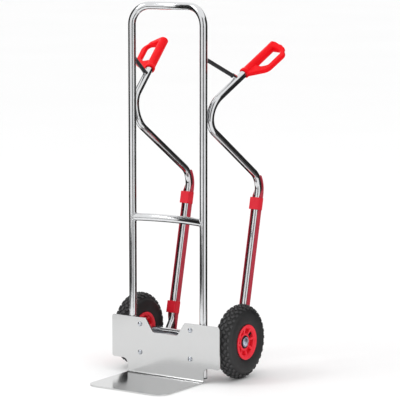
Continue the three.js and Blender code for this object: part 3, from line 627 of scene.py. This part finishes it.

# %% [markdown]
# A thin dark grey strut holds each handle out from its upright. Its ends are cut to fit round
# the tubes, and its lower end sits in a bare sleeve. Where tube meets tube there is a weld: beads
# laid one over the next, made as a string of small balls that a fine remesh melts together.

# %% Struts and welds
STRUT_R = 7 * MM
strut_top = at_upright(1116 * MM)
strut_low = elbow + grip_axis * 216 * MM
strut = bent_tube("right_strut_bar", [(strut_top, 0), (strut_low, 0)], STRUT_R, 1.5 * MM, sides=32)
cut(strut, tube_space(at_upright(0), at_upright(top)), tube_space(elbow, handle_end))
place_pair(strut, "strut", strut_finish, "strut_dark")
SLEEVE_LENGTH = 30 * MM
SLEEVE_R = STRUT_R + 1.6 * MM
sleeve_end = strut_low + (strut_top - strut_low).normalized() * SLEEVE_LENGTH
sleeve = cut(rod(sleeve_end, strut_low, SLEEVE_R), tube_space(elbow, handle_end))
sleeve.name = "right_strut_sleeve"
rounded_edges(sleeve, 1.0 * MM, 2, 50)
for piece in (sleeve, mirrored(sleeve, "left_strut_sleeve")):
    place(piece, tube_finish, "tube_aluminium", "frame")


def melted(piece, grain):
    """Melts a piece's parts into one skin of small squares."""
    melt = piece.modifiers.new("melt", "REMESH")
    melt.mode = "VOXEL"
    melt.voxel_size = grain
    return settle(piece)


def weld(name, at, along, post, radius, bead=1.8 * MM):
    """A weld where a round bar that runs along meets a post of the frame's tube."""
    bm = bmesh.new()
    side = post.cross(along).normalized()
    rise = along.cross(side).normalized()
    flat_along = along - post * along.dot(post)
    count = ceil(2 * pi * radius / (0.9 * bead))
    for k in range(count):
        angle = 2 * pi * k / count
        # The point of the bar's skin that lies on the post's skin, found along the bar.
        spot = side * radius * cos(angle) + rise * radius * sin(angle)
        flat_spot = spot - post * spot.dot(post)
        a, b = flat_along.dot(flat_along), flat_along.dot(flat_spot)
        c = flat_spot.dot(flat_spot) - (TUBE_R + 0.2 * bead) ** 2
        reach = (-b + sqrt(max(0.0, b * b - a * c))) / a
        swell = bead * (1 + 0.12 * sin(9 * angle))
        centre = at + spot * (1 + 0.2 * bead / radius) + along * reach
        bmesh.ops.create_icosphere(bm, subdivisions=2, radius=swell, matrix=Matrix.Translation(centre))
    return melted(to_object(name, bm, merge=0), 0.6 * MM)


for side, label in SIDES:
    seam = weld(label + "_cross_bar_weld", at_upright(CROSS_BAR_HEIGHT, side), X * -side, Z, TUBE_R)
    place(seam, tube_finish, "tube_aluminium", "frame")
upper_way = (strut_low - strut_top).normalized()
seams = {"strut_top_weld": weld("right_strut_top_weld", strut_top, upper_way, Z, STRUT_R, 1.4 * MM),
         "strut_low_weld": weld("right_strut_low_weld", strut_low, -upper_way, grip_axis, STRUT_R, 1.8 * MM),
         "sweep_weld": weld("right_sweep_weld", at_upright(sweep_height), Y, Z, TUBE_R)}
for label, seam in seams.items():
    for piece in (seam, mirrored(seam, "left_" + label)):
        place(piece, tube_finish, "tube_aluminium", "frame")
print("eight welds, the first with", len(seams["sweep_weld"].data.polygons), "faces")

# %% [markdown]
# The toe plate is a flat blank that a brake press folds. It is made the same way: the blank's
# outline is drawn flat with its corners rounded, strips are cut across the fold, the part beyond
# the fold is bent up strip by strip, and the sheet gets its thickness last.

# %% Toe plate
FOLD_RADIUS = 6 * MM
TOE_DEPTH = 250 * MM
fold_length = FOLD_RADIUS * pi / 2


def outline(corners, segments=8):
    """A flat face through corners (x, y, radius), each rounded by a bevel of its vertex."""
    bm = bmesh.new()
    verts = [bm.verts.new((x, y, 0)) for x, y, _ in corners]
    bm.faces.new(verts)
    for i, (_, _, radius) in enumerate(corners):
        if not radius:
            continue
        before, here, after = (Vector(corners[j % len(corners)][:2]) for j in (i - 1, i, i + 1))
        turn = pi - (before - here).angle(after - here)
        bmesh.ops.bevel(bm, geom=[verts[i]], offset=radius * tan(turn / 2), offset_type="OFFSET",
                        affect="VERTICES", segments=segments, profile=0.5, material=-1, clamp_overlap=False)
    return bm


def extruded(bm, way):
    """Extrudes a flat face along way and returns the far vertices."""
    made = bmesh.ops.extrude_face_region(bm, geom=bm.faces[:])["geom"]
    far = [part for part in made if isinstance(part, bmesh.types.BMVert)]
    bmesh.ops.translate(bm, vec=way, verts=far)
    return far


def blank_height(z):
    """Where a height on the back plate lies on the flat blank, measured from the start of the fold."""
    return fold_length + z - PLATE - FOLD_RADIUS


def both_sides(right):
    return right + [(-x, y, radius) for x, y, radius in reversed(right)]


toe_x, wing_x = mm(160, 226)
wing_low, wing_high, notch = (blank_height(z) for z in mm(53, 203.5, 155.5))
blank = outline(both_sides([
    (toe_x, FOLD_RADIUS - TOE_DEPTH, 45 * MM), (toe_x, wing_low, 20 * MM), (wing_x, wing_low, 9 * MM),
    (wing_x, wing_high, 9 * MM), (82 * MM, wing_high, 8 * MM), (50.5 * MM, notch, 8 * MM)]))
FOLD_STRIPS = 10
for k in range(FOLD_STRIPS + 1):
    bmesh.ops.bisect_plane(blank, geom=blank.verts[:] + blank.edges[:] + blank.faces[:], dist=0.001 * MM,
                           plane_co=(0, fold_length * k / FOLD_STRIPS, 0), plane_no=(0, 1, 0))
for vert in blank.verts:
    past = vert.co.y
    angle = min(max(past / FOLD_RADIUS, 0), pi / 2)
    vert.co.y = front - FOLD_RADIUS + min(past, 0) + FOLD_RADIUS * sin(angle)
    vert.co.z = PLATE + FOLD_RADIUS * (1 - cos(angle)) + max(past - fold_length, 0)
bmesh.ops.recalc_face_normals(blank, faces=blank.faces)
if not any(face.normal.z > 0.5 for face in blank.faces):
    bmesh.ops.reverse_faces(blank, faces=blank.faces)
bmesh.ops.solidify(blank, geom=blank.faces[:], thickness=PLATE)
plate = to_object("folded_toe_plate", blank, outwards=False)

BOLT_X, BOLT_RISE, BOLT_HOLE_R = mm(105.5, 50, 4.3)
bolt_spots = [(x, z) for x in (BOLT_X, -BOLT_X) for z in (axle.z + BOLT_RISE, axle.z - BOLT_RISE)]


def bolt_holes(start, end, spots):
    return [rod(Vector((x, start, z)), Vector((x, end, z)), BOLT_HOLE_R, 24) for x, z in spots]


cut(plate, *bolt_holes(front - PLATE, front + 2 * PLATE, bolt_spots))
rounded_edges(plate, 0.8 * MM, 2)
place(plate, sheet_finish, "sheet_aluminium", "frame", "toe_plate")
print("toe plate has", len(plate.data.polygons), "faces")

# %% [markdown]
# Turned pieces, such as bolts, caps, tyres and rims, come from half a section spun once round
# their axis. The section is a few points of (radius, place along the axis), and the spin merges
# its last ring with its first. Closed sections give rings, and sections on the axis give solids.

# %% Spin a section
def turned(bm, profile, centre, axis, steps, closed=False, spoke=None):
    """Spins points (radius, along) about an axis through centre, from a spoke on."""
    if spoke is None:
        spoke = axis.orthogonal().normalized()
    verts = [bm.verts.new(centre + spoke * radius + axis * along) for radius, along in profile]
    edges = [bm.edges.new(pair) for pair in zip(verts, verts[1:])]
    if closed:
        edges.append(bm.edges.new((verts[-1], verts[0])))
    spin(bm, verts + edges, centre, axis, 2 * pi, steps, merge=True)


print("a spin of 96 steps leaves flats of", round(2 * pi * WHEEL_R / MM / 96, 1), "mm on a tyre")

# %% [markdown]
# Four round-headed bolts hold the axle brackets behind the plate. Each head is a low dome with a
# thin skirt that grips the sheet. The nuts behind stay as the frame gives them.

# %% Bolts
BOLT_R, BOLT_LENGTH, HEAD_R, SKIRT, DOME_R, DOME = mm(4, 18.3, 8.5, 1.2, 8.2, 3.4)
dome = [(DOME_R * sin(radians(a)), -GAP - SKIRT - DOME * cos(radians(a))) for a in range(12, 91, 13)]
head = [(0, -GAP - SKIRT - DOME), *dome, (HEAD_R, -GAP - 1 * MM), (HEAD_R, -GAP), (BOLT_R, -GAP)]
point = [(BOLT_R, BOLT_LENGTH - 0.8 * MM), (BOLT_R - 0.6 * MM, BOLT_LENGTH), (0, BOLT_LENGTH)]
for x, z in bolt_spots:
    side = "right" if x > 0 else "left"
    level = "upper" if z > axle.z else "lower"
    bm = bmesh.new()
    turned(bm, head + point, Vector((x, front, z)), Y, 32)
    bolt = to_object(f"{side}_{level}_round_head_bolt", bm)
    place(bolt, zinc_finish, "zinc_steel", "frame", f"{side}_{level}_bolt")
print("bolts at", [(round(x, 4), round(z, 3)) for x, z in bolt_spots])

# %% [markdown]
# A grip is one moulding: a ribbed barrel, a collar, and a guard that loops round the knuckles.
# The barrel is spun, the guard is a flat outline with a window, and a wedge leads one into the
# other. A fine remesh melts them together with the small fillets that a mould has.

# %% Grips
GRIP_R, GRIP_LENGTH, GRIP_END = mm(16.2, 162, 3)
COLLAR, COLLAR_R = mm(12, 18.6)
RIB_PITCH, RIB_DEPTH = mm(5.5, 0.8)
GUARD = 15 * MM
grip_frame = facing(handle_end, grip_axis, X - Z * 0.1)


def barrel_profile():
    """The barrel from its closed end down to the collar, with ribs along it, and back up the bore."""
    points = [(0, 0)] + [(GRIP_R - GRIP_END * (1 - sin(radians(a))), -GRIP_END * (1 - cos(radians(a))))
                         for a in range(0, 91, 18)]
    ribs = round((GRIP_LENGTH - 16 * MM) / RIB_PITCH)
    for k in range(ribs * 4 + 1):
        along = 8 * MM + k * RIB_PITCH / 4
        points.append((GRIP_R - RIB_DEPTH * (1 - cos(pi * k / 2)) / 2, -along))
    foot = -GRIP_LENGTH
    collar = [(GRIP_R, foot + 3 * MM), (COLLAR_R - 0.6 * MM, foot), (COLLAR_R, foot - 2 * MM),
              (COLLAR_R, foot - COLLAR + 2 * MM), (COLLAR_R - 1 * MM, foot - COLLAR)]
    bore = [(TUBE_R + GAP, foot - COLLAR), (TUBE_R + GAP, -5 * MM), (0, -5 * MM)]
    return points + collar + bore


def guard_plate(bm):
    """The flat guard: an outline with a window, given its thickness and soft edges."""
    foot = -GRIP_LENGTH - COLLAR
    root = 14.4 * MM
    rim = outline([(root, foot + 2 * MM, 0), (20.5 * MM, foot, 5 * MM), mm(75, -128, 34),
                   mm(77, -34, 28), mm(36, 3, 20), (root, 3 * MM, 0)])
    window = outline([mm(10, -122, 0), mm(39, -122, 9), mm(56.5, -107, 14), mm(56.5, -26, 15),
                      mm(10, -26, 0)])
    parts = []
    for flat, thickness in ((rim, GUARD), (window, 2 * GUARD)):
        extruded(flat, Z * thickness)
        bmesh.ops.translate(flat, vec=Z * (-thickness / 2), verts=flat.verts)
        bmesh.ops.rotate(flat, matrix=Matrix.Rotation(pi / 2, 3, "X"), verts=flat.verts)
        parts.append(to_object("guard", flat))
    guard = cut(*parts)
    rounded_edges(guard, 4.5 * MM, 4)
    bm.from_mesh(guard.data)
    bpy.data.objects.remove(guard)


def shoulder(bm):
    """The wedge that leads the barrel's end into the thinner guard."""
    near, width = mm(4, 54)
    at_barrel, at_guard = mm(15, 6.5)
    flat = outline([mm(4, -24, 0), mm(58, -24, 0), mm(56, -7, 10), mm(4, 3, 0)])
    far = set(extruded(flat, Z))
    for vert in flat.verts:
        half = at_barrel + (at_guard - at_barrel) * (vert.co.x - near) / width
        vert.co = (vert.co.x, half if vert in far else -half, vert.co.y)
    wedge = rounded_edges(to_object("wedge", flat), 3 * MM, 3)
    bm.from_mesh(wedge.data)
    bpy.data.objects.remove(wedge)


bm = bmesh.new()
turned(bm, barrel_profile(), Vector((0, 0, 0)), Z, 64)
face_outwards(bm)
guard_plate(bm)
shoulder(bm)
bmesh.ops.transform(bm, matrix=grip_frame, verts=bm.verts)
grip = to_object("right_guarded_grip", bm, outwards=False, merge=0)
melted(grip, 1.1 * MM)
polish = grip.modifiers.new("polish", "SMOOTH")
polish.factor = 0.5
polish.iterations = 2
settle(grip)
place_pair(grip, "grip", grip_finish, "grip_red")
print("a grip has", len(grip.data.polygons), "faces")

# %% [markdown]
# A skid is a plastic channel pressed over the back of the rear tube, so that the truck can be
# slid up a stair. It follows the tube's upper bend, its foot is cut to a slope, and above the
# upper clip only its back goes on. Its section is drawn once and walked along the tube.

# %% Skids
SKID_INNER = TUBE_R + GAP
SKID_OUTER = SKID_INNER + 2.4 * MM
CHEEK = 10 * MM
rear_up = Vector((0, REAR_SLOPE, 1)).normalized()


def prism_across(points, half_width):
    """A prism about the upright's plane from points (y, z)."""
    bm = bmesh.new()
    verts = [bm.verts.new((upright.x - half_width, y, z)) for y, z in points]
    bm.faces.new(verts)
    extruded(bm, X * 2 * half_width)
    return to_object("prism", bm)


def skid_section():
    """The channel's outline as a face: square-backed outside, round inside, open to the front."""
    back, round_inside = 9 * MM, 0.97 * SKID_INNER
    return outline([
        (-SKID_OUTER, -CHEEK, 0), (-SKID_OUTER, SKID_OUTER, back),
        (SKID_OUTER, SKID_OUTER, back), (SKID_OUTER, -CHEEK, 0),
        (SKID_INNER, -CHEEK, 0), (SKID_INNER, SKID_INNER, round_inside),
        (-SKID_INNER, SKID_INNER, round_inside), (-SKID_INNER, -CHEEK, 0)])


start_leg = REAR_BEND * tan(rear_up.angle((elbow - rear_corner).normalized()) / 2)
bend_start = rear_corner - rear_up * start_leg
SKID_TURN = radians(42)
part_leg = REAR_BEND * tan(SKID_TURN / 2)
skid_corner = bend_start + rear_up * part_leg
heading = Matrix.Rotation(SKID_TURN, 3, "X") @ rear_up
skid_foot = rear_at(100 * MM)
bm = skid_section()
bmesh.ops.transform(bm, matrix=facing(skid_foot, rear_up, X), verts=bm.verts)
far_edges = walk(bm, bm.edges[:], [(skid_foot, 0), (skid_corner, REAR_BEND),
                                   (skid_corner + heading * (part_leg + 6 * MM), 0)])
bmesh.ops.edgeloop_fill(bm, edges=far_edges)
skid = to_object("right_stair_skid", bm)

slope = (rear_corner.y - rear_at(0).y) / rear_corner.z
lean = Vector((1, slope)).angle(Vector((1, 0)))
bend_middle = bend_start - Y * REAR_BEND * cos(lean) + Z * REAR_BEND * sin(lean)
clip_top = rear_at(605.5 * MM)
edge_arc = [bend_middle + Vector((0, cos(a), sin(a))) * (REAR_BEND + 4 * MM)
            for a in (radians(14 + 8 * k) - lean for k in range(6))]
edge = [(clip_top.y - CHEEK - 2 * MM, clip_top.z)] + [(p.y, p.z) for p in edge_arc]
in_front = [(y - REAR_BEND, z) for y, z in (edge[-1], edge[0])]
tongue = prism_across(edge + in_front, 2 * SKID_OUTER)
slope_top = rear_at(170 * MM)
wedge = prism_across([(skid_foot.y - 3 * SKID_OUTER, skid_foot.z - 1 * MM),
                      (skid_foot.y + SKID_OUTER / 2, skid_foot.z - 1 * MM),
                      (slope_top.y - CHEEK, slope_top.z), (slope_top.y - 3 * SKID_OUTER, slope_top.z)],
                     2 * SKID_OUTER)
cut(skid, tongue, wedge)
rounded_edges(skid, 0.7 * MM, 2, 50)
place_pair(skid, "skid", skid_finish, "skid_red")
print("skid from z", round(skid.bound_box[0][2], 4), "to", round(skid.bound_box[6][2], 4))

# %% [markdown]
# Two clips wrap the front of the tube and hold the skid's cheeks. A clip is a square-cornered
# band with a thick front, drawn as an outline and extruded along the tube.

# %% Clips
CLIP_LENGTH = 43 * MM
CLIP_WALL = 2.4 * MM
near_x = SKID_OUTER + GAP
band_x = near_x + CLIP_WALL
inner_y = -(TUBE_R + 2 * GAP)
front_y = inner_y - 8 * MM
cheek_y = 9 * MM
for level in ("upper", "lower"):
    height = middle(f"right_{level}_clip").z
    bm = outline([
        (band_x, cheek_y, 0), (near_x, cheek_y, 0), (near_x, inner_y, 3 * MM),
        (-near_x, inner_y, 3 * MM), (-near_x, cheek_y, 0), (-band_x, cheek_y, 0),
        (-band_x, front_y, 4 * MM), (band_x, front_y, 4 * MM)])
    spot = rear_at(height) - rear_up * CLIP_LENGTH / 2
    bmesh.ops.transform(bm, matrix=facing(spot, rear_up, X), verts=bm.verts)
    extruded(bm, rear_up * CLIP_LENGTH)
    clip = to_object(f"right_{level}_skid_clip", bm)
    rounded_edges(clip, 0.8 * MM, 3, 50)
    place_pair(clip, f"{level}_clip", clip_finish, "skid_red")
    print(level, "clip at", round(height, 4))

# %% [markdown]
# The axle runs inside a tube between the wheels, and folded brackets carry it behind the plate.
# Only the tube and the brackets show, so they are made smooth. The axle itself stays as it is.

# %% Axle tube and brackets
tube_low, tube_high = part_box("axle_tube")
axle_tube = bent_tube("axle_cover_tube", [(Vector((tube_low[0], axle.y, axle.z)), 0),
                                          (Vector((tube_high[0], axle.y, axle.z)), 0)], across=Z)
place(axle_tube, tube_finish, "tube_aluminium", "frame", "axle_tube")

BRACKET = 4 * MM
low, high = (Vector(corner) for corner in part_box("right_axle_bracket"))
back = front + PLATE + GAP
eye = TUBE_R + BRACKET
bm = outline([
    (back, low.z, 0), (axle.y + eye, axle.z - eye, 16 * MM), (axle.y + eye, axle.z + eye, 16 * MM),
    (back + 65 * MM, axle.z + eye, 30 * MM), (back + 16 * MM, high.z, 8 * MM), (back, high.z, 0)], 10)
extruded(bm, Z * BRACKET)
stand = Matrix((Y, Z, X)).transposed().to_4x4()
bmesh.ops.transform(bm, matrix=Matrix.Translation(X * (high.x - BRACKET)) @ stand, verts=bm.verts)
web = to_object("right_bent_axle_bracket", bm)
bm = bmesh.new()
bmesh.ops.create_cube(bm, size=1)
bmesh.ops.scale(bm, vec=(high.x - low.x, BRACKET, high.z - low.z), verts=bm.verts)
bmesh.ops.translate(bm, vec=((low.x + high.x) / 2, back + BRACKET / 2, axle.z), verts=bm.verts)
flange = to_object("flange", bm)
joined = web.modifiers.new("join", "BOOLEAN")
joined.operation = "UNION"
joined.object = flange
settle(web)
bpy.data.objects.remove(flange)
cut(web, tube_space(Vector((0.1, axle.y, axle.z)), Vector((0.15, axle.y, axle.z))),
    *bolt_holes(front, back + 2 * BRACKET, bolt_spots[:2]))
rounded_edges(web, 0.6 * MM, 2, 50)
place_pair(web, "axle_bracket", zinc_finish, "zinc_steel")
print("bracket is", round((high.z - low.z) * 1000), "mm tall")

# %% [markdown]
# The tyre has a smooth carcass and a block tread. The carcass is a closed section spun round the
# axle. One block of each row is a tapered cube with broken edges, set on the curve of the crown,
# and a spin with copies repeats it round the wheel. Some rows are staggered by half a pitch.

# %% Tyres
BLOCKS = 30


def carcass_profile():
    """The tyre's section: a round crown that the blocks stand on, a full belly, and beads at the rim."""
    points = []
    for k in range(37):
        angle = radians(-90 + 5 * k)
        rise = min(1, max(0, (abs(angle) - radians(58)) / radians(22)))
        reach = CROWN - TREAD_DEPTH * (1 - rise * rise * (3 - 2 * rise))
        points.append((BELLY_R + reach * cos(angle), reach * sin(angle)))
    bead = [(BELLY_R - 60 * MM * sin(radians(a)), CROWN * cos(radians(a))) for a in range(5, 36, 5)]
    outside = [(r, -x) for r, x in reversed(bead)] + points + bead
    wall = 4.5 * MM
    inside = [(r - wall * (r - BELLY_R) / CROWN * (1 if r > BELLY_R else 0.4), x * (1 - wall / CROWN))
              for r, x in reversed(outside[1:-1])]
    return outside + inside


def tread_block(bm, centre, tilt, bearing, size, twist):
    """One block: tilt is its angle from the crown's middle, bearing its place round the wheel."""
    long, wide, tall = size
    made = bmesh.ops.create_cube(bm, size=1)["verts"]
    bmesh.ops.scale(bm, vec=(wide, long, tall), verts=made)
    for vert in made:
        if vert.co.z > 0:
            vert.co.x *= 0.8
            vert.co.y *= 0.8
    bmesh.ops.rotate(bm, matrix=Matrix.Rotation(twist, 3, "Z"), verts=made)
    edges = list({edge for vert in made for edge in vert.link_edges})
    bevelled = bmesh.ops.bevel(bm, geom=edges, offset=0.7 * MM, offset_type="OFFSET", affect="EDGES",
                               segments=1, profile=0.5, material=-1, clamp_overlap=True)
    made = bevelled["verts"]
    bmesh.ops.translate(bm, vec=Z * (CROWN - tall / 2), verts=made)
    bmesh.ops.rotate(bm, matrix=Matrix.Rotation(tilt, 3, "Y"), verts=made)
    bmesh.ops.translate(bm, vec=Z * BELLY_R, verts=made)
    bmesh.ops.rotate(bm, matrix=Matrix.Rotation(bearing, 3, "X"), verts=made)
    bmesh.ops.translate(bm, vec=centre, verts=made)
    return made


# Each row: its tilt, its blocks' length and width in millimetres, their twist, and its stagger.
ROWS = [(0, (17, 9), 0, 0), (17, (15, 8.5), 30, 0.5), (-17, (15, 8.5), -30, 0.5), (34, (16, 8.5), -30, 0),
        (-34, (16, 8.5), 30, 0), (52, (13, 9), 0, 0.5), (-52, (13, 9), 0, 0.5)]


def tyre(side):
    centre = wheel_centre(side)
    bm = bmesh.new()
    turned(bm, carcass_profile(), centre, X, 96, closed=True)
    face_outwards(bm)
    for tilt, flat_size, twist, stagger in ROWS:
        size = (*mm(*flat_size), TREAD_DEPTH + 1.2 * MM)
        bearing = stagger * 2 * pi / BLOCKS
        made = tread_block(bm, centre, radians(tilt), bearing, size, radians(twist))
        faces = list({face for vert in made for face in vert.link_faces})
        edges = list({edge for vert in made for edge in vert.link_edges})
        spin(bm, made + edges + faces, centre, X, 2 * pi * (BLOCKS - 1) / BLOCKS, BLOCKS - 1, copies=True)
    return bm


for side, label in SIDES:
    body = label + "_wheel"
    piece = to_object(label + "_block_tread_tyre", tyre(side), outwards=False, merge=0)
    place(piece, tyre_finish, "tyre", body, label + "_tyre")
    print(piece.name, "has", len(piece.data.polygons), "faces")

# %% [markdown]
# Each rim is two moulded halves riveted together. A half is a spun dish, and its eight pockets
# are pressed in between ribs: the faces of a pocket are inset a little and pushed down. Soft
# edges follow from a bevel, and both halves are made alike.

# %% Rims
RIM_STEPS = 96
POCKETS = 8
POCKET_START = radians(31)
RIM_LIP = 32 * MM
HUB_END = 21 * MM


def rim_half(centre, way):
    """A rim half whose face looks along way, which is X or -X."""
    joint = GAP / 2
    bore = 13.3 * MM
    lip = [mm(56, -5), mm(61, -3.3), mm(61, -1), mm(59, 0), mm(51, -1.5), mm(49.5, -3.5), mm(47.5, -6)]
    hub = [mm(28.5, 0.6), mm(26, 1.2), mm(24, 0), (bore, 0)]
    profile = [(bore, joint), (54 * MM, joint)]
    profile += [(r, RIM_LIP + along) for r, along in lip]
    profile += [(r, HUB_END + along) for r, along in hub]
    bm = bmesh.new()
    first = Vector((cos(POCKET_START), sin(POCKET_START)))
    turned(bm, [(r, along * way.x) for r, along in profile], centre, X, RIM_STEPS, closed=True,
           spoke=Vector((0, *first)))
    face_outwards(bm)
    half_pocket = 2 * pi / RIM_STEPS * (RIM_STEPS / POCKETS / 2 - 1)
    for k in range(POCKETS):
        pocket = []
        for face in bm.faces:
            spot = (face.calc_center_median() - centre).yz
            turn = (spot.angle_signed(first) - 2 * pi * k / POCKETS + pi) % (2 * pi) - pi
            in_ring = 29 * MM < spot.length < 47 * MM and face.normal.dot(way) > 0.5
            if in_ring and abs(turn) < half_pocket:
                pocket.append(face)
        for thickness, depth in (mm(1.2, -0.8), mm(1.0, -12)):
            bmesh.ops.inset_region(bm, faces=pocket, thickness=thickness, depth=depth,
                                   use_even_offset=True)
    return bm


for side, label in SIDES:
    for name, way in (("outer", X * side), ("inner", X * -side)):
        rim = to_object(f"{label}_{name}_pocket_rim", rim_half(wheel_centre(side), way), outwards=False)
        rounded_edges(rim, 0.5 * MM, 2, 45)
        place(rim, rim_finish, "rim_red", label + "_wheel", f"{label}_{name}_rim")
print("a rim half has", len(rim.data.polygons), "faces")

# %% [markdown]
# A domed cap closes the hub on the axle's end. It is thin pressed steel with a rolled edge, and
# it shines blue-white. It doesn't turn with the wheel, so it rides on the frame. The black seal
# behind it is part of the hub, so it rides on the wheel.

# %% Hub caps
CAP_BORE, CAP_CROWN_R, CAP_BRIM, CAP_WALL = mm(8.4, 12.4, 2.6, 2.8)
SEAL_IN, SEAL_OUT, SEAL_HEIGHT = mm(15.6, 22.5, 1.6)
for side, label in SIDES:
    low, high = (Vector(corner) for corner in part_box(label + "_hub_cap"))
    inner, outer = (low.x, high.x) if side > 0 else (high.x, low.x)
    rise = abs(outer - inner)
    cap = bmesh.new()
    crown = [(CAP_CROWN_R * cos(radians(a)), CAP_BRIM + (rise - CAP_BRIM) * sin(radians(a)))
             for a in range(0, 90, 15)]
    rolled = [mm(17.5, 0), mm(17.5, 1.6), mm(16.8, 2.4), mm(15.4, 2.4), mm(14.2, 1.9), mm(13.2, 2.3)]
    bore = [(0, rise - CAP_WALL), (CAP_BORE, rise - CAP_WALL), (CAP_BORE, 0)]
    turned(cap, bore + rolled + crown + [(0, rise)], Vector((inner, axle.y, axle.z)), X * side, 48)
    piece = to_object(label + "_domed_hub_cap", cap)
    place(piece, cap_finish, "zinc_steel", "frame", label + "_hub_cap")
    base = HUB_END + 0.2 * MM
    crest = base + SEAL_HEIGHT
    ring = [(SEAL_IN, base), (SEAL_OUT, base), (SEAL_OUT - 0.7 * MM, crest), (SEAL_IN, crest)]
    seal = bmesh.new()
    turned(seal, ring, wheel_centre(side), X * side, 48, closed=True)
    place(to_object(label + "_hub_seal", seal), plug_finish, "black_plastic", label + "_wheel")
print("hub caps stand", round(rise * 1000, 1), "mm proud")

# %% [markdown]
# The small pieces that stay as the frame gives them still get a real finish: nuts, washers,
# rivets and bearings in zinc, plugs and valve caps in black plastic, tubes and stems in rubber.

# %% Finish the kept nodes
KEPT = ((zinc_finish, ("nut", "washer", "rivet", "bearing", "axle")),
        (plug_finish, ("foot_plug", "valve_cap")),
        (tube_rubber_finish, ("valve_stem", "inner_tube")))
finished = 0
for name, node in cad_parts.items():
    for finish, endings in KEPT:
        if name.rstrip("_1234").endswith(endings):
            for slot in node.material_slots:
                slot.material = finish
            finished += 1
print("finished", finished, "kept nodes")

# %% The frame's box
print("box of the frame", [[round(c, 4) for c in corner] for corner in cad_box])
